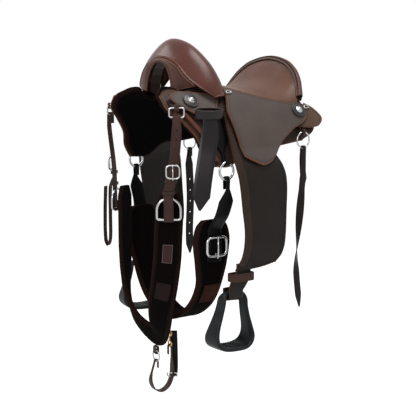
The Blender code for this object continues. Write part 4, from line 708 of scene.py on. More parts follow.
# %% The four edges of each flat piece
def outline_path(edges, inset, lift, count=400):
    """A path round a patch, drawn in by inset metres on each side, and the surface's outward direction there."""
    def at(u, v):
        """The patch's point on the layer."""
        yz = patch(edges, u, v)
        return side_point(yz[..., 0], yz[..., 1], lift(yz[..., 1]) if callable(lift) else lift)

    wide = np.linalg.norm(np.diff(at(np.linspace(0, 1, 60), np.full(60, 0.5)), axis=0), axis=1).sum()
    tall = np.linalg.norm(np.diff(at(np.full(60, 0.5), np.linspace(0, 1, 60)), axis=0), axis=1).sum()
    a, b = inset / wide, inset / tall
    s = np.linspace(0, 4, count, endpoint=False)
    u = np.interp(s, [0, 1, 2, 3, 4], [a, 1 - a, 1 - a, a, a])
    v = np.interp(s, [0, 1, 2, 3, 4], [b, b, 1 - b, 1 - b, b])
    p = at(u, v)
    d = 1e-3
    out = unit(np.cross(at(u + d, v) - p, at(u, v + d) - p))
    out *= np.sign(np.sum(out * (p - INSIDE)))
    return p, out


SEAT_JOCKEY = (
    ((-0.058, 0.122), (-0.062, 0.095), (-0.074, 0.060), (-0.068, 0.02), (-0.062, -0.03), (-0.058, -0.056)),
    ((0.170, 0.076), (0.183, 0.054), (0.170, 0.034), (0.125, 0.012), (0.080, -0.018), (0.044, -0.054)),
    ((-0.058, 0.122), (-0.03, 0.117), (0.051, 0.096), (0.132, 0.082), (0.170, 0.076)),
    ((-0.058, -0.056), (-0.030, -0.070), (-0.006, -0.078), (0.020, -0.071), (0.044, -0.054)),
)
FRONT_JOCKEY = (
    ((-0.190, 0.112), (-0.214, 0.106), (-0.222, 0.094), (-0.213, 0.081)),
    ((-0.074, 0.102), (-0.092, 0.074), (-0.112, 0.040)),
    ((-0.190, 0.112), (-0.14, 0.108), (-0.074, 0.102)),
    ((-0.213, 0.081), (-0.18, 0.062), (-0.148, 0.047), (-0.112, 0.040)),
)
REAR_JOCKEY = (
    ((0.118, 0.060), (0.117, 0.045), (0.120, 0.026)),
    ((0.198, 0.078), (0.222, 0.064), (0.240, 0.038), (0.222, 0.018), (0.195, 0.013)),
    ((0.118, 0.060), (0.158, 0.060), (0.183, 0.070), (0.198, 0.078)),
    ((0.120, 0.026), (0.155, 0.016), (0.195, 0.013)),
)
SKIRT = (
    ((-0.238, 0.098), (-0.234, 0.068), (-0.205, 0.038), (-0.170, -0.005), (-0.158, -0.045), (-0.134, -0.080)),
    ((0.205, 0.076), (0.226, 0.05), (0.213, 0.005), (0.165, -0.022)),
    ((-0.238, 0.098), (-0.214, 0.113), (-0.182, 0.114), (-0.152, 0.098), (-0.10, 0.094), (-0.02, 0.090),
     (0.05, 0.085), (0.13, 0.080), (0.205, 0.076)),
    ((-0.134, -0.080), (-0.085, -0.080), (-0.030, -0.045), (0.06, -0.036), (0.165, -0.022)),
)
print("a patch's middle:", patch(SEAT_JOCKEY, np.array(0.5), np.array(0.5)))

# %% [markdown]
# The panel is a felt pad, so its underside bulges by three millimetres. The seat's flap stands off towards its lower
# edge, because the fender swings under it. A cloth simulation would make both limp, and they are stiff, so a power of
# a product and a smooth step say what is wanted.

# %% Panels, skirts and their rolls
def jockey_lift(z):
    """Lies close above, and stands off towards its lower edge by a smooth step, for the fender to swing under it."""
    down = np.clip((-0.030 - np.asarray(z)) / 0.05, 0, 1)
    return JOCKEY_LIFT + 0.011 * down * down * (3 - 2 * down)


def drawn_in(edges, amount):
    """The same outline, each point moved towards the middle by amount."""
    centre = np.mean([edge[len(edge) // 2] for edge in edges], axis=0)
    return tuple(tuple(tuple(p + amount * unit(centre - p)) for p in np.asarray(edge)) for edge in edges)


def flat_piece(name, edges, size, lift, thick, look, slot, sewn=None, crown=0.0):
    """One cut on each side of the horse, with its stitching."""
    u, v = grid(*size)
    yz = patch(edges, u, v)
    p = side_point(yz[..., 0], yz[..., 1], lift(yz[..., 1]) if callable(lift) else lift)
    swell = crown * (16 * u * (1 - u) * v * (1 - v)) ** 0.35 if crown else None
    for side, mirror in SIDES:
        node_name = f"{name}_{side}"
        obj = leather(node_name + "_hide", p, thick, INSIDE, mirror, swell)
        dress(obj, look, "saddle", slot, node_name)
        if sewn:
            path, out = outline_path(edges, sewn, lift)
            path = path + out * (thick + 0.0002)
            dress(stitches(node_name + "_thread", path, out, mirror=mirror), THREAD, "saddle", slot)


flat_piece("panel", drawn_in(SKIRT, 0.006), (110, 60), 0.0, PANEL_THICK, PANEL_FELT, "felt", crown=0.003)
flat_piece("skirt", SKIRT, (130, 70), SKIRT_LIFT, SKIRT_THICK, SKIRT_HIDE, "band_leather", 0.0085)
ROLL_RADIUS = 0.0065


def skirt_roll():
    """The path of the roll: just behind the skirt's front edge, resting on the skirt."""
    v = np.linspace(0.28, 0.92, 80)
    yz = patch(SKIRT, np.full(80, 0.050), v)
    return side_point(yz[:, 0], yz[:, 1], SKIRT_LIFT + SKIRT_THICK + 0.0045)


for side, mirror in SIDES:
    roll = rod(f"skirt_roll_{side}", skirt_roll(), BACK, ROLL_RADIUS, closed=False, mirror=mirror)
    dress(roll, SWELL_HIDE, "saddle", "swell_leather")
tell("panel")
tell("skirt")

# %% [markdown]
# Flaps cover the fender's top and the ends of the tree. Their edges wear pale where a rider's leg rubs, so they have
# a wide tan rim. The same tool cuts them, because they differ from a skirt only in outline and place.

# %% Flaps
flat_piece("front_jockey", FRONT_JOCKEY, (80, 50), UNDER_LIFT, FLAP_THICK, FLAP_HIDE, "jockey_leather", 0.0065)
flat_piece("rear_jockey", REAR_JOCKEY, (70, 50), UNDER_LIFT, FLAP_THICK, REAR_HIDE, "strap_leather", 0.0065)
flat_piece("seat_jockey", SEAT_JOCKEY, (130, 110), jockey_lift, FLAP_THICK, FLAP_HIDE, "jockey_leather", 0.0062)
tell("front_jockey")
tell("rear_jockey")
tell("seat_jockey")

# %% [markdown]
# The swell is a hide drawn wet over the fork, so it has no corner anywhere. Subdivision of a rough block could round
# it, but its three outlines are known. The surface swings from the front edge over the crown to the back edge with a
# sine. The band below it closes the arch over the horse's withers.

# %% Shapes of swell and band
SWELL_EDGE = [(0.172, -0.095, 0.098), (0.150, -0.128, 0.122), (0.118, -0.148, 0.148), (0.075, -0.156, 0.186),
              (0.0, -0.158, 0.2055)]
SWELL_CROWN = [(0.176, -0.082, 0.101), (0.150, -0.088, 0.150), (0.115, -0.096, 0.196), (0.062, -0.108, 0.238),
               (0.0, -0.116, 0.254)]
SWELL_BACK = [(0.168, -0.068, 0.101), (0.135, -0.060, 0.134), (0.100, -0.062, 0.158), (0.050, -0.072, 0.188),
              (0.0, -0.076, 0.198)]


def over(points, u):
    """A smooth curve from the left foot over the middle and down through its mirror image."""
    half = np.asarray(points, float)
    return smooth(np.concatenate([half, half[-2::-1] * (-1, 1, 1)]), u)


def swell_surface(u, v):
    """Front edge to back edge, plus the crown's height times sin(pi v) to the power 0.75."""
    edge, crown, back = over(SWELL_EDGE, u), over(SWELL_CROWN, u), over(SWELL_BACK, u)
    level = edge * (1 - v)[..., None] + back * v[..., None]
    return level + (crown - (edge + back) / 2) * (np.sin(math.pi * v) ** 0.75)[..., None]


def arch_lip(u):
    """Half an ellipse over the horse's withers, 128 mm wide and 81 mm high."""
    angle = math.pi * u
    return np.stack([0.064 * np.cos(angle), np.full_like(u, -0.163), 0.115 + 0.081 * np.sin(angle)], -1)


def band_surface(u, v):
    """Straight from the arch's lip out to just under the swell's front edge, a little domed."""
    outer = over(SWELL_EDGE, 0.14 + 0.72 * u) + (0, -0.002, -0.0045)
    bulge = np.sin(math.pi * v)[..., None] * (0, -0.003, 0)
    return arch_lip(u) * (1 - v)[..., None] + outer * v[..., None] + bulge


print("top of the swell:", swell_surface(np.array(0.5), np.array(0.5)))

# %% [markdown]
# A rolled welt closes each edge of the swell, and two rows of thread hold the band. The welts are thin rods along the
# surface's own edges, which keeps them exactly where the two hides meet.

# %% Swell, band, welts and thread
WELT_RADIUS, RUN_STEPS = 0.0021, 260
u, v = grid(161, 57)
dress(leather("swell_hide_cover", swell_surface(u, v), 0.004, np.array([0, -0.11, 0.10])), SWELL_HIDE, "saddle",
      "swell_leather", "swell_cover")
u, v = grid(161, 15)
dress(leather("gullet_hide", band_surface(u, v), 0.0035, np.array([0, 0.5, 0.15])), BAND_HIDE, "saddle",
      "band_leather", "gullet_band")
run = np.linspace(0, 1, RUN_STEPS)
welt = band_surface(run, np.full(RUN_STEPS, 1.0)) + (0, -0.0030, 0.0015)
lip = band_surface(run, np.zeros(RUN_STEPS)) + (0, -0.0030, 0.0008)
for name, path in (("swell_welt", welt), ("gullet_lip", lip)):
    look = hide(name + "_hide", TAN, TAN, (0.42, 0.5), 1500, 0.15)
    dress(rod(name, path, BACK, WELT_RADIUS, closed=False), look, "saddle", "band_leather")
for row in (0.12, 0.90):
    path = band_surface(run, np.full(RUN_STEPS, row)) + (0, -0.0046, 0)
    dress(stitches(f"gullet_thread_{round(row * 100)}", path, -BACK), THREAD, "saddle", "band_leather")
tell("swell")
tell("gullet")

# %% [markdown]
# The seat is one hide stretched over the tree: high at the fork, low in the middle, and climbing into the cantle. It
# could be simulated as a stretched cloth, but leather moulded on a tree keeps its shape for good. A cosine across and
# a power of a sine upwards give that shape, and near the back it turns into the cantle's own curve.

# %% Seat
SEAT_CENTRE = [(0, -0.052, 0.142), (0, 0.0, 0.131), (0, 0.06, 0.121), (0, 0.12, 0.120), (0, 0.17, 0.143),
               (0, 0.203, 0.178), (0, 0.219, 0.204)]
SEAT_SIDE_Y = [(-0.052, 0), (0.0, 0.2), (0.07, 0.5), (0.13, 0.75), (0.170, 1.0)]


def seat_side(t):
    """The seat's edge on the horse's side: its height falls 0.30 per metre towards the rear, then levels."""
    y = smooth(SEAT_SIDE_Y, t)[..., 0]
    z = 0.116 - 0.30 * (y + 0.052) + 0.30 * np.maximum(y - 0.10, 0)
    return side_point(y, z, UNDER_LIFT)


CANTLE_RIM = [tuple(seat_side(np.array(1.0))), (0.178, 0.179, 0.094), (0.163, 0.189, 0.117), (0.145, 0.199, 0.143),
              (0.119, 0.207, 0.168), (0.076, 0.214, 0.191), (0.0, 0.219, 0.204)]


def seat_surface(u, v):
    """Across: a cosine for width and a power of a sine for height. Near the back it blends into the rim's curve."""
    def dish(v):
        """The seat's hollow before it meets the rim: from the side's curve to the centre's, by cosine and sine."""
        side, centre = seat_side(v), smooth(SEAT_CENTRE, v)
        lift = np.maximum(np.sin(math.pi * u), 0) ** (1.6 - 0.98 * v)
        return np.stack([np.cos(math.pi * u) * side[..., 0], side[..., 1] + (centre[..., 1] - side[..., 1]) * lift,
                         side[..., 2] + (centre[..., 2] - side[..., 2]) * lift], -1)

    into = (np.maximum((v - 0.45) / 0.55, 0) ** 2)[..., None]
    return dish(v) + (over(CANTLE_RIM, u) - dish(np.ones_like(v))) * into


u, v = grid(141, 111)
dress(leather("seat_hide_cover", seat_surface(u, v), SEAT_THICK, np.array([0, 0.14, -0.4])), SEAT_HIDE, "saddle",
      "seat_leather", "seat_cover")
tell("seat_hide")

# %% [markdown]
# The cantle's rim is bound by a roll of leather, with the dark line of a seam in front of it. A tube along the rim
# would be quicker, but the roll runs on down the cantle's back, so it is one sheet that turns half a circle first.

# %% Cantle
ROLL_SPAN, PIPING_RADIUS = 0.88, 0.0016
CANTLE_ROLL, CANTLE_START, CANTLE_LAP, CANTLE_BACK, CANTLE_LOW = 0.0075, 0.0041, 0.001, 0.014, 0.088


def rim_out(u):
    """Square to the rim in its upright plane, pointing out of the cantle."""
    along = over(CANTLE_RIM, np.minimum(u + 0.02, 1)) - over(CANTLE_RIM, np.maximum(u - 0.02, 0))
    return unit(np.stack([along[..., 2], np.zeros_like(u), -along[..., 0]], -1))


def cantle_surface(u, v):
    """Half a turn round the roll at the rim, then straight down the back."""
    u = 0.5 + (u - 0.5) * ROLL_SPAN
    rim, out = over(CANTLE_RIM, u), rim_out(u)
    turn = np.pi * np.minimum(v / 0.5, 1)
    roll = rim + out * (CANTLE_START + CANTLE_ROLL * np.sin(turn))[..., None]
    roll[..., 1] += CANTLE_ROLL * (1 - np.cos(turn)) - CANTLE_LAP
    down = np.maximum(2 * v - 1, 0)
    back = rim + out * (2 * CANTLE_START * (1 - v))[..., None]
    back[..., 1] += CANTLE_BACK
    back[..., 2] -= down * np.maximum(rim[..., 2] - CANTLE_LOW, 0.004)
    return np.where((v < 0.5)[..., None], roll, back)


u, v = grid(161, 61)
p = cantle_surface(u, v)
core = np.stack([p[..., 0] * 0.9, np.full(p.shape[:2], 0.214), p[..., 2] * 0.9 - 0.02], -1)
dress(leather("cantle_roll", p, SEAT_THICK, core), ROLL_HIDE, "saddle", "seat_leather", "cantle_cover")
along = 0.5 + (np.linspace(0.04, 0.96, 240) - 0.5) * ROLL_SPAN
seam = over(CANTLE_RIM, along) + rim_out(along) * 0.0125 - BACK * 0.0010
piping = rod("cantle_piping", seam, BACK, PIPING_RADIUS, closed=False, sides=10)
dress(piping, DARK_THREAD, "saddle", "seat_leather")
tell("cantle")

# %% [markdown]
# The fender keeps the rider's leg off the horse. It hangs from the tree and swings in its own plane, so its top leans
# with the tree and its foot hangs upright. Bending a flat mesh with a modifier would move the outline. Here the
# outline is drawn from the side, and a line above with a curve below gives each point its place outwards.

# %% The fender's shape
FENDER = (
    ((-0.080, 0.070), (-0.083, 0.0), (-0.088, -0.07), (-0.082, -0.12), (-0.074, -0.19), (-0.066, -0.26),
     (-0.074, -0.315), (-0.098, -0.351)),
    ((-0.012, 0.070), (0.0, 0.02), (0.018, -0.02), (0.050, -0.062), (0.066, -0.11), (0.068, -0.20),
     (0.066, -0.29), (0.055, -0.322), (0.035, -0.341)),
    ((-0.080, 0.070), (-0.045, 0.074), (-0.012, 0.070)),
    ((-0.098, -0.351), (-0.050, -0.351), (-0.005, -0.348), (0.035, -0.341)),
)
FENDER_MIDDLE, FENDER_THICK, SPLAY = -0.045, 0.0045, 0.06
HIGH = side_point(FENDER_MIDDLE, 0.058, UNDER_LIFT)
LOW = side_point(FENDER_MIDDLE, -0.080, 0.0465)
LEAN = math.atan2(LOW[0] - HIGH[0], HIGH[2] - LOW[2])
DROP = smooth([(0, -0.080), (0.0062, -0.105), (0.0095, -0.14), (0.0100, -0.20), (0.0100, -0.365)],
              np.linspace(0, 1, 80))


def fender_point(y, z):
    """A flat top that leans with the tree, then a bend to upright: x is a line above, and a drawn curve below."""
    above = LOW[0] - (z - LOW[2]) * math.tan(LEAN)
    below = LOW[0] + np.interp(-z, -DROP[:, 1], DROP[:, 0])
    upright = np.clip((-0.08 - z) / 0.25, 0, 1)
    return np.stack([np.where(z > LOW[2], above, below) + SPLAY * (y - FENDER_MIDDLE) * (1 - upright), y, z], -1)


def fender_outline(inset):
    """The path of the stitching, drawn in by the inset from the front edge, the foot and the rear edge."""
    s = np.linspace(0, 3, 400)
    a, b = inset / 0.14, inset / 0.42
    uu = np.interp(s, [0, 1, 2, 3], [a, a, 1 - a, 1 - a])
    vv = np.interp(s, [0, 1, 2, 3], [0.12, 1 - b, 1 - b, 0.12])
    yz = patch(FENDER, uu, vv)
    return fender_point(yz[..., 0], yz[..., 1]) + (0.0047, 0, 0)


def front_strip():
    """The strip's grid: the fender's first 17 mm behind its front edge, from the top to the foot."""
    a, b = np.meshgrid(np.linspace(0.006, 0.14, 16), np.linspace(0.02, 0.965, 120), indexing="ij")
    yz = patch(FENDER, a, b)
    return fender_point(yz[..., 0], yz[..., 1]) + (0.0046, 0, 0)


u, v = grid(70, 150)
yz = patch(FENDER, u, v)
fender_skin = fender_point(yz[..., 0], yz[..., 1])
print("the fender's top leans", round(math.degrees(LEAN), 1), "degrees from upright")

# %% [markdown]
# The right fender hangs four degrees further back than the left one, as it came to rest. A parent object could hold
# that turn, but each piece has to stay in the frame's own axes. So the points themselves turn about the fender's
# hinge, by the formula for a turn about any axis.

# %% Hanging the right side back
HANG_BACK = math.radians(-4.0)
PIVOT = np.array([LOW[0] - (0.040 - LOW[2]) * math.tan(LEAN), FENDER_MIDDLE, 0.040])
HINGE = unit(np.array([-math.cos(LEAN), -SPLAY * math.cos(LEAN), math.sin(LEAN)]))


def hung_back(obj, mirror):
    """The right side's pieces turn back about the fender's hinge: Rodrigues' formula on every point at once."""
    if not mirror:
        return obj
    count = len(obj.data.vertices)
    p = np.empty(count * 3, np.float32)
    obj.data.vertices.foreach_get("co", p)
    centre = PIVOT * (-1, 1, 1)
    r = p.reshape(-1, 3) - centre
    along = HINGE * (r @ HINGE)[:, None]
    r = r * math.cos(HANG_BACK) + np.cross(HINGE, r) * math.sin(HANG_BACK) + along * (1 - math.cos(HANG_BACK))
    obj.data.vertices.foreach_set("co", (r + centre).astype(np.float32).ravel())
    obj.data.update()
    return obj


print("the hinge points to", HINGE.round(3), "through", PIVOT.round(3))

# %% [markdown]
# A wide strap runs on from the fender's foot, round the stirrup's bar and up again, and a hobble strap holds the two
# layers together. A strap could be bent with a curve modifier. One path with half a circle at the bar does it
# exactly, and the strap turns from the fender's direction to the bar's on its way down.

# %% The stirrup's bar, the strap round it and the hobble's loop
BAR = np.array([0.258, -0.101, -0.415])
BAR_TURN = math.radians(5)
BAR_AXIS = unit(np.array([-math.sin(BAR_TURN), math.cos(BAR_TURN), -math.tan(BAR_TURN)]))
BAR_OUT = np.array([math.cos(BAR_TURN), math.sin(BAR_TURN), 0])
BAR_UP = np.cross(BAR_OUT, BAR_AXIS)
FOOT = fender_point(np.array(-0.072), np.array(-0.345)) + (FENDER_THICK / 2, 0, 0)
HOBBLE = FOOT + (0.0010, -0.0095, -0.023)
STRAP_BEND = 0.0122
turn = np.radians(np.linspace(0, 180, 13))[:, None]
stirrup_path = np.concatenate([
    [FOOT + (0, 0, 0.012), FOOT, FOOT + (0, -0.004, -0.022), BAR + BAR_OUT * STRAP_BEND + (0, 0, 0.020)],
    BAR + BAR_OUT * STRAP_BEND * np.cos(turn) - UP * STRAP_BEND * np.sin(turn),
    [BAR - BAR_OUT * STRAP_BEND + (0, 0, 0.018)],
])


def stirrup_strap_side(t):
    """Turns from straight back to the bar's own direction over the first half."""
    f = np.minimum(2 * t, 1)[:, None]
    return unit((1 - f) * BACK + f * BAR_AXIS)


def squarer(wave, power):
    """A sine or cosine drawn out towards a square wave: its sign times its size to a power of 1 or less."""
    return np.sign(wave) * np.abs(wave) ** power


around = np.linspace(0, 2 * math.pi, 121)
hobble_path = np.stack([squarer(np.cos(around), 0.35) * 0.0150, squarer(np.sin(around), 0.35) * 0.0345,
                        0 * around], -1) + HOBBLE
print("stirrup strap", run_length(stirrup_path), "mm, hobble", run_length(hobble_path), "mm")

# %% [markdown]
# Now the fender's pieces are cut, sewn and hung. The left side is drawn, and the right one is its mirror image, hung
# back. A mirror modifier would join both sides in one mesh, and they move on two hinges.

# %% Fenders
for side, mirror in SIDES:
    body = f"fender_{side}"
    skin = leather(f"fender_{side}_hide", fender_skin, FENDER_THICK, INSIDE, mirror)
    dress(hung_back(skin, mirror), FENDER_HIDE, body, "fender_leather", body)
    around_bar = strap(f"stirrup_strap_{side}", stirrup_path, stirrup_strap_side, steady(0.048), 0.006, 120, mirror)
    dress(hung_back(around_bar, mirror), FENDER_HIDE, body, "fender_leather")
    thread = stitches(f"fender_{side}_thread", fender_outline(0.0075), SIDE, mirror=mirror)
    dress(hung_back(thread, mirror), DARK_THREAD, body, "fender_leather")
    strip = leather(f"fender_{side}_strip", front_strip(), 0.0011, INSIDE, mirror)
    dress(hung_back(strip, mirror), FRONT_HIDE, body, "fender_leather")
    hobble = strap(f"hobble_{side}_strap", hobble_path, lambda t: UP, steady(0.022), 0.0030, 200, mirror)
    dress(hung_back(hobble, mirror), STRAP_HIDE, body, "strap_leather", f"hobble_{side}")
tell("fender")
tell("hobble")

# %% [markdown]
# A stirrup like this is moulded in one piece. Its section changes all the way round: a round bar on top for the
# strap, arms that widen downwards, and a deep tread. Sculpting would give no even wall, so it is a closed run of
# rounded squares, each with its own thickness and depth.

# %% The stirrup's shape
HALF_W, TALL = 0.062, 0.141
RINGS, RING_POINTS = 240, 28
# Each row: across, up, thickness and depth
half = np.array([
    (0.0, 0.0, 0.016, 0.016), (0.028, 0.0, 0.016, 0.016), (0.036, -0.008, 0.013, 0.028), (0.040, -0.030, 0.011, 0.030),
    (0.76 * HALF_W, -0.40 * TALL, 0.011, 0.034), (0.93 * HALF_W, -0.62 * TALL, 0.012, 0.042),
    (HALF_W, -0.78 * TALL, 0.013, 0.052), (0.90 * HALF_W, -0.90 * TALL, 0.013, 0.0576),
    (0.58 * HALF_W, -0.98 * TALL, 0.012, 0.064), (0.0, -TALL, 0.012, 0.064),
])
order = np.concatenate([half, half[-2:0:-1] * (-1, 1, 1, 1), half[:1]])
steps = np.linspace(0, 1, RINGS + 1)[:-1]
fine = smooth(order[:, [0, 1, 3]], steps)
thick = smooth(order[:, :3], steps)[:, 2]
lead = unit(np.roll(fine[:, :2], -1, axis=0) - np.roll(fine[:, :2], 1, axis=0))
away = np.stack([lead[:, 1], -lead[:, 0]], -1)
phi = np.linspace(0, 2 * math.pi, RING_POINTS, endpoint=False)
# The section is round on the bar, where the strap turns on it, and squarer below
power = (1 - 0.5 * np.clip(-fine[:, 1] / 0.02, 0, 1))[:, None]
across, deep = squarer(np.cos(phi), power) / 2, squarer(np.sin(phi), power) / 2
flat = fine[:, None, :2] + away[:, None] * (across * thick[:, None])[..., None]
points = BAR + flat[..., :1] * BAR_AXIS + flat[..., 1:] * BAR_UP + (deep * fine[:, 2:])[..., None] * BAR_OUT
quads, _ = rings_to_faces(RINGS, RING_POINTS, True)
print("tread", round(2000 * HALF_W), "mm across, stirrup", round(1000 * TALL), "mm from bar to tread")

# %% [markdown]
# Ribs across the tread keep the boot from sliding. They could be a bump in the material, but they show in outline at
# the tread's edges, so each is a thin rod half sunk in the moulding.

# %% Stirrups
RIB_RADIUS, RIB_STEP = 0.0011, 0.008
for side, mirror in SIDES:
    body = f"stirrup_{side}"
    obj = build(f"stirrup_{side}_moulding", points.reshape(-1, 3), quads, mirror=mirror)
    dress(hung_back(obj, mirror), COMPOSITE, body, "tree_composite", body)
    for index, along in enumerate(np.arange(-4, 5) * RIB_STEP):
        base = BAR + BAR_AXIS * along - BAR_UP * (TALL - 0.0062 - 0.25 * along * along / HALF_W)
        line = base + np.linspace(-0.026, 0.026, 12)[:, None] * BAR_OUT
        rib = rod(f"tread_rib_{side}_{index}", line, BAR_UP, RIB_RADIUS, closed=False, sides=8, mirror=mirror)
        dress(hung_back(rib, mirror), COMPOSITE, body, "tree_composite")
tell("stirrup_left", "stirrup_right")
tell("tread_rib")

# %% [markdown]
# Rings and buckles are bent from round wire and then plated. A rounded rectangle covers most of them: an arc at each
# corner, with straights between. Straps fold round them in part circles, and closed loops of strap hold the ends. Six
# small helpers draw these paths, so that each piece later takes only a line or two.

# %% Bent wire and folds
WIRE, TONGUE_WIRE, HEAVY_WIRE, HEAVY_TONGUE = 0.0022, 0.0014, 0.0035, 0.0022


def frame_path(centre, side, up, width, height, rounding=0.5, each=9):
    """A rounded rectangle: an arc of equal radius at each corner, with straights between them."""
    r = rounding * min(width, height) / 2
    a = np.radians(np.linspace(0, 90, each))
    corners = []
    for x, z, start in ((width / 2 - r, height / 2 - r, 0), (-width / 2 + r, height / 2 - r, 90),
                        (-width / 2 + r, -height / 2 + r, 180), (width / 2 - r, -height / 2 + r, 270)):
        b = a + math.radians(start)
        corners.append(np.stack([x + r * np.cos(b), z + r * np.sin(b)], -1))
    p = np.concatenate(corners)
    return centre + p[:, :1] * side + p[:, 1:] * up


def ring_path(centre, side, up, radius, start=0, end=360, count=64):
    """Points on a circle or part of one: the radius times cosine along one side and sine along the other."""
    a = np.radians(np.linspace(start, end, count, endpoint=end - start < 360))
    return centre + radius * (np.cos(a)[:, None] * side + np.sin(a)[:, None] * up)


def wrap(centre, out, radius, start, end, count=9):
    """Points round a wire: degrees from straight out towards straight up."""
    a = np.radians(np.linspace(start, end, count))[:, None]
    return centre + out * radius * np.cos(a) + UP * radius * np.sin(a)


def widening(narrow, wide, start, length):
    """A width that grows evenly from one value to another over part of the strap's length."""
    return lambda t: narrow + (wide - narrow) * np.clip((t - start) / length, 0, 1)


def loop_strap(name, loop, side, width, thick, mirror=False):
    """A closed band of strap: the path's first point is put at its end again."""
    return strap(name, np.concatenate([loop, loop[:1]]), lambda t: side, steady(width), thick, 90, mirror)


def heel_tongue(heel, out, length, bar, tube):
    """A tongue hooked round the buckle's heel bar, and on along the strap to the far bar."""
    hook = bar + tube + 0.0006
    return np.concatenate([wrap(heel, out, hook, 110, 360, 15), [heel + out * (hook + 0.0004) + UP * 0.35 * length,
                                                                 heel + out * hook + UP * length]])


print("a 44 mm ring is bent from", round(math.pi * 44, 1), "mm of wire")

# %% [markdown]
# On each side a strap hangs from the saddle's front ring, folds down through a buckle and ends round the collar's
# ring. These straps face half sideways, so everything here stands in that plane. Simulated cloth would be too limp
# for thick leather, so the strap is a path through the places where it is held.

# %% Places and paths of the breast collar
COLLAR = "breast_collar"
FACING = math.radians(55)
OUT = np.array([math.sin(FACING), -math.cos(FACING), 0])
WIDE = np.array([math.cos(FACING), math.sin(FACING), 0])
FRONT_RING = np.array([0.175, -0.2210, 0.0600])
SEAT_POINT = np.array([0.158, -0.222, -0.093])
BUCKLE = SEAT_POINT + OUT * 0.0082
COLLAR_RING = np.array([0.139, -0.2235, -0.193])
COLLAR_BAR = COLLAR_RING - UP * 0.028
DEE_RADIUS, DEE_WIRE, FRONT_HALF = 0.031, 0.0032, 0.012
fold, collar_fold = 0.0050, 0.0060
ring_foot = FRONT_RING - UP * FRONT_HALF
adjuster = np.concatenate([
    [ring_foot - OUT * fold - UP * 0.026], wrap(ring_foot, OUT, fold, 180, 0),
    [ring_foot + OUT * (fold - 0.001) - UP * 0.04],
    [SEAT_POINT], [COLLAR_RING + OUT * collar_fold + UP * 0.045], [COLLAR_RING + OUT * collar_fold],
    wrap(COLLAR_BAR, OUT, collar_fold, 0, -180), [COLLAR_BAR - OUT * collar_fold + UP * 0.024],
])
dee = np.concatenate([ring_path(COLLAR_RING + UP * (0.028 - DEE_RADIUS), WIDE, UP, DEE_RADIUS, 0, 180.0, 40),
                      frame_path(COLLAR_RING - UP * 0.014, WIDE, UP, 0.062, 0.028, 0.5)[18:]])
SPARE = [(-0.0043, -0.120), (-0.003, -0.128), (0.006, -0.145), (0.012, -0.165), (0.013, -0.240), (0.014, -0.315),
         (0.021, -0.334), (0.029, -0.318), (0.030, -0.240), (0.027, -0.160)]
spare_loop = [SEAT_POINT - UP * 0.019 + OUT * a + UP * (z + 0.112) for a, z in SPARE]
KEEPER_PATH = ([0.093, 0.148], [0.158, 0.1439], [-0.222, -0.2269])
print("adjuster strap", run_length(adjuster), "mm, spare loop", run_length(spare_loop), "mm")

# %% [markdown]
# Rings, buckles and dees are plated steel, and the straps are dark oiled leather. The right side could be a scaled
# copy of the left side's objects, but a mirrored copy is inside out. The tools turn the faces of a mirror image
# outwards.

# %% Straps and wire of the breast collar
for side, mirror in SIDES:
    ring = frame_path(FRONT_RING, WIDE, UP, 0.038, 2 * FRONT_HALF)
    ring = rod(f"front_ring_{side}_wire", ring, OUT, WIRE, mirror=mirror)
    dress(ring, BRIGHT, COLLAR, "bright_steel", f"front_ring_{side}")
    obj = strap(f"adjuster_{side}_hide", adjuster, lambda t: WIDE, widening(0.022, 0.026, 0.16, 0.05), 0.0032, 260,
                mirror)
    dress(obj, HOLED_HIDE, COLLAR, "strap_leather", f"adjuster_strap_{side}")
    if mirror:
        obj = strap("spare_loop", spare_loop, lambda t: WIDE, steady(0.020), 0.003, 160, True)
        dress(obj, STRAP_HIDE, COLLAR, "strap_leather")
    buckle = frame_path(BUCKLE, WIDE, UP, 0.034, 0.034, 0.55)
    dress(rod(f"adjuster_buckle_{side}_wire", buckle, OUT, WIRE, mirror=mirror), BRIGHT, COLLAR, "bright_steel",
          f"adjuster_buckle_{side}")
    tongue = rod(f"adjuster_tongue_{side}_wire", heel_tongue(BUCKLE - UP * 0.017, OUT, 0.0365, WIRE, TONGUE_WIRE),
                 WIDE, TONGUE_WIRE, False, 10, mirror)
    dress(tongue, BRIGHT, f"adjuster_tongue_{side}", "bright_steel", f"adjuster_tongue_{side}")
    dress(rod(f"collar_ring_{side}_wire", dee, OUT, DEE_WIRE, mirror=mirror), BRIGHT, COLLAR, "bright_steel",
          f"collar_ring_{side}")
    for index, down in enumerate((0.118, 0.150)):
        depths, xs, ys = KEEPER_PATH
        centre = np.array([np.interp(down, depths, xs), np.interp(down, depths, ys), -down])
        keeper = loop_strap(f"loop_{side}_{index}", frame_path(centre, WIDE, OUT, 0.0292, 0.0088, 0.6), UP, 0.009,
                            0.0018, mirror)
        dress(keeper, STRAP_HIDE, COLLAR, "strap_leather")
tell("adjuster")
tell("collar_ring", "front_ring")

# %% [markdown]
# The breast pad is a band of dense felt, bound along its edges and sewn to a fold for the centre ring. It stays a
# padded strap here, with a low crown across its face: a cushion's bulge would be wrong for felt this dense.

# %% Breast pad
PAD_HALF = [(0.1195, -0.2090, -0.155), (0.1178, -0.2095, -0.222), (0.1155, -0.2108, -0.270), (0.1125, -0.2125, -0.331),
            (0.104, -0.217, -0.402), (0.090, -0.219, -0.464), (0.064, -0.208, -0.526), (0.032, -0.191, -0.560)]
PAD = PAD_HALF + [(0.0, -0.184, -0.571)] + [(-x, y, z) for x, y, z in reversed(PAD_HALF)]
FACE_HALF = [tuple(OUT)] * 4 + [(0.74, -0.65, -0.05), (0.62, -0.75, -0.1), (0.42, -0.88, -0.2), (0.2, -0.95, -0.25)]
FACES = FACE_HALF + [(0, -0.97, -0.26)] + [(-x, y, z) for x, y, z in reversed(FACE_HALF)]
PAD_WIDTH, PAD_THICK = 0.076, 0.013


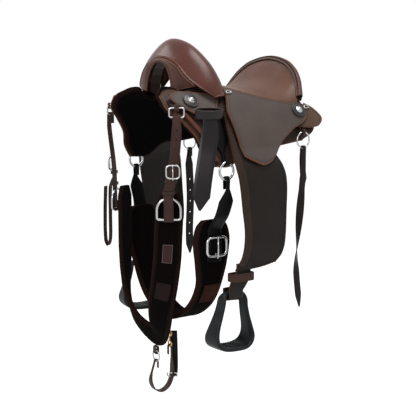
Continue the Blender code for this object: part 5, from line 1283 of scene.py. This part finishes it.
def pad_width(t):
    """Rounded off at both ends, and narrowed by a bell curve in the middle."""
    end = np.minimum(t, 1 - t)
    return PAD_WIDTH * (0.62 + 0.38 * np.minimum(end / 0.03, 1)) * (1 - 0.14 * np.exp(-(((t - 0.5) / 0.08) ** 2)))


def pad_face(t):
    """The outward direction: straight lines between the directions given along the pad."""
    steps = np.linspace(0, 1, len(FACES))
    return np.stack([np.interp(t, steps, [f[k] for f in FACES]) for k in range(3)], -1)


def pad_side(t):
    """The direction across the pad: square to its face and to its run."""
    path = smooth(PAD, t)
    return unit(np.cross(pad_face(t), np.gradient(path, axis=0)))


pad = strap("breast_pad_felt", PAD, pad_side, pad_width, PAD_THICK, 300, crown=0.12)
dress(pad, PAD_FELT, COLLAR, "felt", "breast_pad")
print("breast pad", run_length(PAD), "mm long")

# %% [markdown]
# Two rows of thread, a bare leather patch and a stitched box lie on each half of the pad. Projecting flat shapes on
# the pad would smear them at its bends. Here each point is placed along, across and above the pad instead.

# %% Thread and patches on the pad
def on_pad(t, across, lift):
    """A point on the pad's face: t along it, metres across, and metres above its middle."""
    t = np.asarray(t, float)
    wide = np.linspace(0, 1, 600)
    side = pad_side(wide)
    s = np.stack([np.interp(t, wide, side[:, k]) for k in range(3)], -1)
    return smooth(PAD, t) + s * np.asarray(across)[..., None] + unit(pad_face(t)) * np.asarray(lift)[..., None]


def pad_part(a, near):
    """A share of the pad's length, counted from the left end for near 1 and from the right end for near -1."""
    return 0.5 - near * (0.5 - np.asarray(a))


BEHIND_PAD = np.array([0, 0.2, -0.3])
THREAD_STEPS, ROW_OUT = 300, 0.0275
for side, near in (("left", 1), ("right", -1)):
    t = pad_part(np.linspace(0.035, 0.47, THREAD_STEPS), near)
    for index, across in enumerate((-ROW_OUT, ROW_OUT)):
        line = on_pad(t, np.full(THREAD_STEPS, across), np.full(THREAD_STEPS, 0.0074))
        dress(stitches(f"pad_thread_{side}_{index}", line, unit(pad_face(t))), DARK_THREAD, COLLAR, "felt")
    u, v = grid(24, 40)
    place = on_pad(pad_part(0.148 + 0.052 * v, near), -0.0125 + 0.025 * u, 0.0076 + 0 * u)
    dress(leather(f"collar_patch_{side}", place, 0.0018, BEHIND_PAD), PATCH_HIDE, COLLAR, "strap_leather")
    u, v = grid(20, 26)
    place = on_pad(pad_part(0.262 + 0.050 * v, near), -0.020 + 0.040 * u, 0.0078 + 0 * u)
    dress(leather(f"pad_box_{side}", place, 0.0016, BEHIND_PAD), BOX_HIDE, COLLAR, "strap_leather")
tell("pad_thread")
tell("collar_patch", "pad_box")

# %% [markdown]
# The tie-down strap loops from the centre ring to a brass snap. On the horse the snap clips to the girth. Its path is
# drawn in the middle plane, and only the folds round the ring and the snap's eye are worked out.

# %% Tie-down strap, ring and snap
THIN_HALF, FOLD_PLAY = 0.0015, 0.0018
NARROW_FOLD = WIRE + THIN_HALF + FOLD_PLAY
SNAP_FOLD = NARROW_FOLD + 0.0006
CENTRE_RADIUS, EYE_RADIUS, HOOK_RADIUS, SNAP_WIRE = 0.017, 0.0085, 0.008, 0.0021
CENTRE_AXIS = np.array([0, -0.1805, -0.616])
CENTRE_RING = CENTRE_AXIS - UP * CENTRE_RADIUS
EYE = np.array([0, -0.134, -0.606])
foot, eye_foot = CENTRE_RING - UP * CENTRE_RADIUS, EYE - UP * EYE_RADIUS
hanging = [(-0.199, -0.695), (-0.196, -0.717), (-0.183, -0.734), (-0.163, -0.740), (-0.141, -0.728), (-0.128, -0.698)]
tie = np.concatenate([
    [foot + BACK * NARROW_FOLD - UP * 0.020], wrap(foot, -BACK, NARROW_FOLD, 180, 0),
    [(0, y, z) for y, z in hanging],
    [eye_foot + BACK * SNAP_FOLD - UP * 0.025], wrap(eye_foot, -BACK, SNAP_FOLD, 180, 0),
    [eye_foot - BACK * SNAP_FOLD - UP * 0.022],
])
ends = widening(0.0085, 0.022, 0.20, 0.10)
webbing = strap("tie_down_webbing", tie, lambda t: SIDE, lambda t: ends(np.minimum(t, 1 - t)), 0.003, 240)
dress(webbing, STRAP_HIDE, "tie_down", "strap_leather", "tie_down_strap")
dress(rod("centre_ring_wire", ring_path(CENTRE_RING, SIDE, UP, CENTRE_RADIUS), BACK, WIRE), BRIGHT, "tie_down",
      "bright_steel", "centre_ring")
snap = np.concatenate([ring_path(EYE, SIDE, UP, EYE_RADIUS, 84, -258, 40),
                       ring_path(EYE + UP * 0.030, SIDE, UP, HOOK_RADIUS, -90, 190, 36)])
dress(rod("snap_wire", snap, BACK, SNAP_WIRE, closed=False), BRASS, "tie_down", "brass", "tie_down_snap")
print("tie-down strap", run_length(tie), "mm")

# %% [markdown]
# The strap's spare end stands up from a slide on the loop, with its face towards the near front. A fold of the pad's
# leather holds the centre ring: two half circles with a short straight between them.

# %% Spare end, slide and centre fold
END_SIDE = unit(np.array([0.62, 0.78, 0]))
SLIDE_UP = unit(np.array([0.16, -0.30, 0.94]))
spare_end = [(0, -0.1215, -0.570), (0, -0.1198, -0.620), (0, -0.1195, -0.680), (0, -0.1225, -0.706)]
dress(strap("tie_down_end", spare_end, lambda t: END_SIDE, steady(0.0215), 0.0028, 80), LATIGO_HIDE, "tie_down",
      "strap_leather")
slide = frame_path(np.array([0, -0.1270, -0.700]), END_SIDE, SLIDE_UP, 0.029, 0.012, 0.7)
dress(rod("tie_down_slide", slide, unit(np.cross(END_SIDE, UP)), 0.0016, sides=10), BRIGHT, "tie_down", "bright_steel")
centre_fold = np.concatenate([wrap(CENTRE_AXIS, -BACK, 0.0055, a, b, 12) + UP * z
                              for a, b, z in ((0, 180, 0.006), (180, 360, -0.006))])
dress(loop_strap("centre_fold", centre_fold, SIDE, 0.014, 0.0026), STRAP_HIDE, COLLAR, "strap_leather")
tell("tie_down")
print("spare end", run_length(spare_end), "mm")

# %% [markdown]
# Below the skirts the rigging ring carries the latigo, a wide strap which runs down behind the girth's buckle. Both
# it and the strap above pinch where they fold round the ring. They lie on the surfaces that hold them up, so their
# paths start from the horse's side and end behind the buckle.

# %% Paths of the rigging
LATIGO_WIDTH, LATIGO_THICK, LATIGO_HALF, PINCHED = 0.046, 0.0035, 0.00175, 0.012
RIGGING_FOLD = HEAVY_WIRE + LATIGO_HALF + 0.0024
RIGGING_Y, GIRTH_X, GIRTH_Y, RIGGING_RADIUS = -0.104, 0.187, -0.112, 0.022
lay = SKIRT_LIFT + SKIRT_THICK + LAYER_GAP + LATIGO_HALF
RIGGING = side_point(RIGGING_Y, -0.070, lay) + SIDE * RIGGING_FOLD * 1.1 - UP * RIGGING_RADIUS
GIRTH_BUCKLE = np.array([GIRTH_X + 0.0134, GIRTH_Y, -0.295])
ring_top, ring_foot = RIGGING + UP * RIGGING_RADIUS, RIGGING - UP * RIGGING_RADIUS
drop = np.concatenate([
    side_point(RIGGING_Y, np.array([0.048, 0.020, -0.008, -0.030, ring_top[2] + 0.012]), lay + 0.0006),
    wrap(ring_top, SIDE, RIGGING_FOLD, 180, 360), [ring_top + SIDE * (RIGGING_FOLD - 0.0025) + UP * 0.008],
])
level = GIRTH_X + LAYER_GAP + LATIGO_HALF
latigo = np.concatenate([
    [ring_foot - SIDE * (RIGGING_FOLD - 0.001) - UP * 0.026], wrap(ring_foot, SIDE, RIGGING_FOLD, 180, 0),
    [(RIGGING[0] + RIGGING_FOLD - 0.004, RIGGING_Y, ring_foot[2] - 0.040),
     (0.5 * (RIGGING[0] + level) + 0.002, RIGGING_Y, -0.210),
     (level + 0.0018, GIRTH_Y, -0.248), (level, GIRTH_Y, -0.270),
     (level - 0.0004, GIRTH_Y, -0.300), (level - 0.0018, GIRTH_Y, -0.338)],
])
print("strap above the ring", run_length(drop), "mm, latigo", run_length(latigo), "mm")

# %% [markdown]
# The rigging holds the whole saddle on the horse, so its wire is the heaviest here. The buckle's tongue is a piece of
# its own, because it lifts on the buckle's lower bar.

# %% Rigging rings, latigos and girth buckles
for side, mirror in SIDES:
    ring = rod(f"rigging_ring_{side}_wire", ring_path(RIGGING, BACK, UP, RIGGING_RADIUS), SIDE, HEAVY_WIRE,
               mirror=mirror)
    dress(ring, BRIGHT, "girth", "bright_steel", f"rigging_ring_{side}")
    obj = strap(f"rigging_strap_{side}_hide", drop, lambda t: BACK, widening(LATIGO_WIDTH, PINCHED, 0.42, 0.22),
                LATIGO_THICK, 160, mirror)
    dress(obj, LATIGO_HIDE, "saddle", "latigo_leather", f"rigging_strap_{side}")
    obj = strap(f"latigo_{side}_hide", latigo, lambda t: BACK, widening(PINCHED, LATIGO_WIDTH, 0.26, 0.12),
                LATIGO_THICK, 240, mirror)
    dress(obj, LATIGO_HIDE, "girth", "latigo_leather", f"latigo_{side}")
    buckle = frame_path(GIRTH_BUCKLE, BACK, UP, 0.062, 0.050, 0.55)
    dress(rod(f"girth_buckle_{side}_wire", buckle, SIDE, HEAVY_WIRE, mirror=mirror), BRIGHT, "girth", "bright_steel",
          f"girth_buckle_{side}")
    hook = heel_tongue(GIRTH_BUCKLE - UP * 0.025, SIDE, 0.053, HEAVY_WIRE, HEAVY_TONGUE)
    tongue = rod(f"girth_tongue_{side}_wire", hook, BACK, HEAVY_TONGUE, False, 12, mirror)
    dress(tongue, BRIGHT, f"girth_tongue_{side}", "bright_steel", f"girth_tongue_{side}")
tell("rigging")
tell("latigo")

# %% [markdown]
# The girth is one felt band under the belly, wide at its rounded ends. Its path is drawn as an outline from the
# front, so the outward direction is worked out from the run of that outline. Brown rough leather lines it where a
# stirrup leather rubs, and two rows of thread follow its edges.

# %% Girth
GIRTH_HALF = [(GIRTH_X, -0.225), (0.1855, -0.290), (0.180, -0.357), (0.165, -0.415), (0.132, -0.466), (0.090, -0.500),
              (0.045, -0.521), (0.0, -0.528)]
GIRTH = [(x, GIRTH_Y, z) for x, z in GIRTH_HALF] + [(-x, GIRTH_Y, z) for x, z in reversed(GIRTH_HALF[:-1])]
GIRTH_WIDTHS = smooth([(0.0, 0.066), (0.022, 0.100), (0.07, 0.118), (0.15, 0.104), (0.24, 0.084), (0.5, 0.090)],
                      np.linspace(0, 1, 200))
GIRTH_CENTRE, GIRTH_THICK, GIRTH_SINK, GIRTH_DRIFT, ROW_IN = (0, GIRTH_Y, -0.3), 0.0135, 0.007, 0.004, 0.013


def girth_width(t):
    """Read off the drawn widths, the same from both ends."""
    return np.interp(np.minimum(t, 1 - t), GIRTH_WIDTHS[:, 0], GIRTH_WIDTHS[:, 1])


def girth_path(count=400):
    """The band's middle, which drifts forward by up to 4 mm near its ends, and its outward direction."""
    t = np.linspace(0, 1, count)
    p = smooth(GIRTH, t)
    along = unit(np.gradient(p, axis=0))
    out = unit(np.cross(along, BACK))
    out *= np.where(np.sum(out * (p - GIRTH_CENTRE), -1, keepdims=True) < 0, -1, 1)
    p[:, 1] -= GIRTH_DRIFT * (1 - np.minimum(np.minimum(t, 1 - t) / 0.2, 1))
    return t, p, out


girth_t, girth_p, girth_out = girth_path()
felt_path = girth_p - girth_out * GIRTH_SINK
band = strap("girth_felt_band", felt_path, lambda t: BACK, girth_width, GIRTH_THICK, 300, crown=0.06)
dress(band, GIRTH_FELT, "girth", "felt", "girth")


def on_girth(a, across, lift):
    """A point on the girth's outer face: a share of its length, metres across, and metres above the face."""
    q = np.stack([np.interp(a, girth_t, girth_p[:, k]) for k in range(3)], -1)
    n = np.stack([np.interp(a, girth_t, girth_out[:, k]) for k in range(3)], -1)
    return q + BACK * np.asarray(across)[..., None] + n * np.asarray(lift)[..., None]


for side, far in (("left", 0), ("right", 1)):
    u, v = grid(30, 50)
    place = on_girth(np.abs(far - (0.225 + 0.075 * v)), -0.018 + 0.050 * u, 0.0002 + 0 * u)
    dress(leather(f"girth_patch_{side}", place, 0.0018, np.array(GIRTH_CENTRE)), ROUGH_HIDE, "girth", "strap_leather")
    a = np.abs(far - np.linspace(0.02, 0.49, THREAD_STEPS))
    for index, sign in enumerate((-1, 1)):
        line = on_girth(a, sign * (girth_width(a) / 2 - ROW_IN), np.full(THREAD_STEPS, 0.0004))
        thread = stitches(f"girth_thread_{side}_{index}", line, unit(line - GIRTH_CENTRE))
        dress(thread, DARK_THREAD, "girth", "felt")
tell("girth_felt", "girth_patch")
print("girth", run_length(felt_path), "mm long")

# %% [markdown]
# Behind the seat, a ring on each side carries a strap. The near one is long and narrow and twists as it hangs. The
# far one is a flat billet with a point. One tool makes both: the twist is only a direction that changes along the
# strap, and the point is a width that shrinks.

# %% Rear straps
REAR = (np.array([0.162, -0.020]), np.array([0.094, -0.047]))
REAR_RADIUS = 0.022
long_width, billet_width = widening(0.012, 0.022, 0.05, 0.10), widening(0.012, 0.028, 0.13, 0.10)


def rear_centre(place):
    """The ring's centre: on the skirt at the given place, and 17 mm out."""
    return side_point(place[0], place[1] + REAR_RADIUS, SKIRT_LIFT + SKIRT_THICK) + SIDE * 0.0170 - UP * REAR_RADIUS


def twist(t):
    """Half a turn, from straight back to straight forward, in the middle of the hanging part."""
    a = math.pi * np.clip((t - 0.42) / 0.40, 0, 1)
    return np.stack([np.sin(a), np.cos(a), 0 * a], -1)


def hang(foot, *steps):
    """Points that hang below the ring's foot, each given as a step from it."""
    return [foot + step for step in steps]


for (side, mirror), place in zip(SIDES, REAR):
    body = f"rear_strap_{side}"
    centre = rear_centre(place)
    foot = centre - UP * REAR_RADIUS
    dress(rod(f"rear_ring_{side}_wire", ring_path(centre, BACK, UP, REAR_RADIUS), SIDE, WIRE, mirror=mirror), BRIGHT,
          body, "bright_steel", f"rear_ring_{side}")
    bow = wrap(foot, SIDE, NARROW_FOLD, 180, 0)
    if mirror:
        below = hang(foot, (0.004, 0, -0.04), (0, 0.002, -0.15), (0, -0.002, -0.26), (0, 0, -0.334))
        path = np.concatenate([[bow[0] - UP * 0.022], bow, below])
        obj = strap("rear_billet", path, lambda t: BACK,
                    lambda t: billet_width(t) * np.minimum((1.02 - t) / 0.10, 1), 0.003, 200, True)
    else:
        below = hang(foot, (0.005, 0, -0.03), (0.001, -0.004, -0.12), (0, -0.014, -0.24), (0, -0.020, -0.33),
                     (0, -0.006, -0.45))
        path = np.concatenate([hang(foot, (-0.013, 0.018, -0.105), (-0.008, 0.002, -0.030)), bow, below])
        obj = strap("rear_strap", path, twist,
                    lambda t: long_width(np.abs(t - 0.21)) * np.minimum((1.02 - t) / 0.08, 1)
                    * np.minimum((0.01 + t) / 0.04, 1), 0.003, 260)
    dress(obj, BILLET_HIDE if mirror else LONG_HIDE, body, "latigo_leather", f"rear_strap_{side}")
    print(side, "rear strap", run_length(path), "mm")

# %% [markdown]
# Each ring hangs in a fold of strap sewn to the saddle: a small closed loop round the wire, and a tail that lies on
# the skirt above it. The front folds turn from the collar's plane to the skirt's, so their direction is a blend.

# %% Folds for the front and rear rings
fold_lift = SKIRT_LIFT + SKIRT_THICK + 0.0024
for (side, mirror), place in zip(SIDES, REAR):
    top = rear_centre(place) + UP * REAR_RADIUS
    loop = frame_path(top - UP * 0.0007, SIDE, UP, 0.0098, 0.0150, 0.6)
    dress(loop_strap(f"rear_fold_{side}", loop, BACK, 0.009, 0.0026, mirror), STRAP_HIDE, "saddle", "strap_leather",
          f"rear_ring_chape_{side}")
    high = side_point(top[1], np.array([top[2] + 0.014, top[2] + 0.030]), fold_lift)
    obj = strap(f"rear_fold_tail_{side}", np.concatenate([[top - SIDE * 0.0045 + UP * 0.002], high]), lambda t: BACK,
                steady(0.008), 0.003, 40, mirror)
    dress(obj, STRAP_HIDE, "saddle", "strap_leather")
    top = FRONT_RING + UP * FRONT_HALF
    loop = frame_path(top, OUT, UP, 0.0098, 0.0156, 0.6)
    dress(loop_strap(f"front_fold_{side}", loop, WIDE, 0.012, 0.0026, mirror), STRAP_HIDE, "saddle", "strap_leather",
          f"front_ring_chape_{side}")
    high = side_point(-0.2210, np.array([0.082, 0.092]), fold_lift)
    obj = strap(f"front_fold_tail_{side}", np.concatenate([[top - OUT * 0.0045 + UP * 0.0015], high]),
                lambda t: unit((1 - t)[:, None] * WIDE + t[:, None] * BACK), steady(0.011), 0.003, 40, mirror)
    dress(obj, STRAP_HIDE, "saddle", "strap_leather")
tell("rear_fold")
tell("front_fold")

# %% [markdown]
# In front, the latigo's free end hangs from an oval keeper and ends in a point. A cloth would hang straight down, but
# this strap is stiff and leans out with the fender, so its path and its slow turn are drawn.

# %% Keeper and latigo tail
KEEPER = np.array([0.2085, -0.143, 0.0574])
KEEPER_ALONG = unit(np.array([0.30, 0.954, 0]))
KEEPER_OUT = unit(np.array([0.90, -0.283, -0.33]))
a = np.linspace(0, 2 * math.pi, 161)[:, None]
keeper = KEEPER + KEEPER_ALONG * 0.036 * np.cos(a) + KEEPER_OUT * 0.0125 * np.sin(a)
obj = strap("keeper_loop", keeper, lambda t: np.cross(KEEPER_ALONG, KEEPER_OUT), steady(0.024), 0.003, 200)
dress(obj, KEEPER_HIDE, "saddle", "latigo_leather", "latigo_keeper")
tail = [(0.2108, -0.1435, 0.0432), (0.2165, -0.1440, 0.020), (0.227, -0.1620, -0.043), (0.233, -0.1780, -0.109),
        (0.234, -0.1905, -0.189)]


def tail_side(t):
    """Turns from the keeper's direction to the collar's over the first four tenths."""
    f = np.minimum(t / 0.4, 1)[:, None]
    return unit((1 - f) * KEEPER_ALONG + f * WIDE)


def tail_width(t):
    """A little narrower in the keeper, full width below it, and a point over the last sixth."""
    return LATIGO_WIDTH * (0.80 + 0.20 * np.minimum(t / 0.2, 1)) * np.minimum((1.02 - t) / 0.17, 1)


dress(strap("tail_hide_strap", tail, tail_side, tail_width, LATIGO_THICK, 200), TAIL_HIDE, "latigo_tail",
      "latigo_leather", "latigo_tail")
print("keeper loop", run_length(keeper), "mm, latigo tail", run_length(tail), "mm")

# %% [markdown]
# Each concho is a bright domed button on a scalloped leather rosette. A stack of cylinders would have sharp steps.
# Both are profiles turned about an axis square to the leather instead, and a cosine of the turning angle gives the
# scallops.

# %% Turned shapes
def turned(name, centre, axis, profile, scallops=0, depth=0.0, mirror=False, steps=96):
    """A profile turned about an axis: each radius times one plus depth times cos(scallops times angle)."""
    axis = unit(axis)
    side = unit(np.cross(axis, UP))
    up = np.cross(side, axis)
    profile = np.asarray(profile, float)
    phi = np.linspace(0, 2 * math.pi, steps, endpoint=False)
    wave = 1 + depth * np.cos(scallops * phi)
    far = profile[:, :1] * np.where(profile[:, :1] > 0.012, wave[None], 1.0)
    spoke = np.cos(phi)[None, :, None] * side + np.sin(phi)[None, :, None] * up
    p = centre + far[..., None] * spoke + profile[:, 1][:, None, None] * axis
    quads, tris = rings_to_faces(len(profile), steps, False)
    ends = np.array([centre + axis * profile[0, 1], centre + axis * profile[-1, 1]])
    return build(name, np.concatenate([p.reshape(-1, 3), ends]), quads, tris, mirror=mirror)


def leaning(z, lift):
    """The outward direction of the horse's side at height z."""
    d = 1e-3
    slope = side_point(0.0, z - d, lift) - side_point(0.0, z + d, lift)
    return unit(np.cross(BACK, slope)) * (1 if np.cross(BACK, slope)[0] > 0 else -1)


print("leather at the front concho faces", leaning(0.090, UNDER_LIFT).round(2))

# %% [markdown]
# The conchos sit on the front flap and the seat's flap, and small dees for saddle bags stand near the seat flap's top
# corner and behind the cantle. Both lie square on the leather, so one direction places them.

# %% Conchos and small dees
ROSETTE = [(0.0012, 0.0026), (0.010, 0.0026), (0.0175, 0.0026), (0.0188, 0.0018), (0.0200, 0.0026), (0.0218, 0.0020),
           (0.0224, 0.0010), (0.0215, 0.0), (0.0012, 0.0)]
BUTTON = [(0.0008, 0.0095), (0.0030, 0.0091), (0.0052, 0.0078), (0.0068, 0.0058), (0.0074, 0.0044), (0.0098, 0.0040),
          (0.0106, 0.0032), (0.0100, 0.0026), (0.0008, 0.0026)]
SCALLOPS, SCALLOP_DEPTH = 20, 0.022
for name, y, z, lift in (("front", -0.168, 0.090, UNDER_LIFT + FLAP_THICK),
                         ("rear", 0.158, 0.062, JOCKEY_LIFT + FLAP_THICK)):
    axis = leaning(z, lift)
    centre = side_point(y, z, lift) + axis * 0.0015
    for side, mirror in SIDES:
        rosette = turned(f"{name}_rosette_{side}", centre, axis, ROSETTE, SCALLOPS, SCALLOP_DEPTH, mirror)
        dress(rosette, ROSETTE_HIDE, "saddle", "bright_steel", f"{name}_concho_{side}")
        button = turned(f"{name}_button_{side}", centre, axis, BUTTON, mirror=mirror)
        dress(button, BRIGHT, "saddle", "bright_steel")

SMALL_DEE, SMALL_WIRE = 0.0085, 0.0015
for name, y, z, lift in (("front_dee", -0.050, 0.108, JOCKEY_LIFT + 0.0045),
                         ("rear_dee", 0.196, 0.066, UNDER_LIFT + 0.0045)):
    axis = leaning(z, lift)
    centre = side_point(y, z, lift) + axis * 0.0030
    half_ring = ring_path(centre, BACK, unit(np.cross(axis, BACK)), SMALL_DEE, 0, 180.0, 24)
    for side, mirror in SIDES:
        small = rod(f"{name}_{side}", half_ring, axis, SMALL_WIRE, sides=10, mirror=mirror)
        dress(small, BRIGHT, "saddle", "bright_steel")
tell("front_rosette", "front_button")
tell("front_dee", "rear_dee")

# %% [markdown]
# The tree inside stays the frame's own solid, and only takes a plain finish. Last come the floor and the light. The
# sheet under the saddle is pale. Stronger lamps could bleach it, but they would bleach the saddle too. So it looks
# white to the camera and in reflections, and lights the saddle like plain paper.

# %% Tree and floor
FLOOR_DROP, FLOOR_HALF = 0.012, 6
PAPER, SHADE, GLOW = 0.82, 0.30, 0.95
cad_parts["saddle_tree"].data.materials.clear()
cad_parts["saddle_tree"].data.materials.append(TREE_HIDE)


def white_to_the_eye(tree, plain, bright, output):
    """Light Path picks the bright shader for what the camera or a reflection sees, and the plain one otherwise."""
    path = node(tree, "ShaderNodeLightPath")
    seen = maths(tree, "MAXIMUM", maths(tree, "MAXIMUM", path.outputs["Is Camera Ray"], path.outputs["Is Glossy Ray"]),
                 path.outputs["Is Transmission Ray"])
    picked = node(tree, "ShaderNodeMixShader", [(0, seen), (1, plain), (2, bright)])
    tree.links.new(picked.outputs[0], output)


def grey(tree, value):
    """A matt shader of one grey."""
    return node(tree, "ShaderNodeBsdfDiffuse", [("Color", (value, value, value, 1.0))]).outputs[0]


floor_look = bpy.data.materials.new("pale_floor")
floor_look.use_nodes = True
tree = floor_look.node_tree
tree.nodes.clear()
glow = node(tree, "ShaderNodeEmission", [("Color", (1.0, 1.0, 1.0, 1.0)), ("Strength", GLOW)]).outputs[0]
bright = node(tree, "ShaderNodeAddShader", [(0, grey(tree, SHADE)), (1, glow)]).outputs[0]
white_to_the_eye(tree, grey(tree, PAPER), bright, node(tree, "ShaderNodeOutputMaterial").inputs["Surface"])
floor_z = CAD_BOX[0][2] - FLOOR_DROP
corners = [(x * FLOOR_HALF, y * FLOOR_HALF, floor_z) for x, y in ((-1, -1), (1, -1), (1, 1), (-1, 1))]
mesh = bpy.data.meshes.new("floor")
mesh.from_pydata(corners, [], [(0, 1, 2, 3)])
floor = bpy.data.objects.new("floor", mesh)
bpy.context.scene.collection.objects.link(floor)
floor.data.materials.append(floor_look)
print("the floor lies at", round(floor_z, 3), "m")

# %% [markdown]
# A cloudy sky lights the saddle from all sides, and three large square lamps shape it from above, the near front and
# the far side. One small lamp would draw hard shadows and hide the dark straps.

# %% Sky and lamps
world = bpy.data.worlds.new("studio")
bpy.context.scene.world = world
world.use_nodes = True
tree = world.node_tree
tree.nodes.clear()
soft = node(tree, "ShaderNodeBackground", [("Color", (0.97, 0.98, 1.0, 1.0)), ("Strength", 0.36)]).outputs[0]
clear = node(tree, "ShaderNodeBackground", [("Color", (1.0, 1.0, 1.0, 1.0)), ("Strength", 1.0)]).outputs[0]
white_to_the_eye(tree, soft, clear, node(tree, "ShaderNodeOutputWorld").inputs["Surface"])


def lamp(name, place, size, watts):
    """A square soft light aimed at the saddle."""
    light = bpy.data.lights.new(name, "AREA")
    light.size = size
    light.energy = watts
    obj = bpy.data.objects.new(name, light)
    bpy.context.scene.collection.objects.link(obj)
    obj.location = place
    obj.rotation_euler = (AIM - Vector(place)).to_track_quat("-Z", "Y").to_euler()


lamp("top", (0.7, 0.3, 2.4), 1.2, 52)
lamp("near_front", (1.5, -2.2, 1.0), 1.2, 30)
lamp("far_side", (-1.8, -1.2, 1.4), 1.0, 18)
bpy.context.scene.view_settings.view_transform = "Standard"

# %% [markdown]
# At the end the shown meshes are counted, with about how many triangles they make.

# %% Meshes and triangles
shown = [o for o in bpy.data.objects if o.type == "MESH" and not o.hide_render]
triangles = sum(len(o.data.loop_triangles) or len(o.data.polygons) * 2 for o in shown)
print(len(shown), "meshes", triangles, "triangles, about")
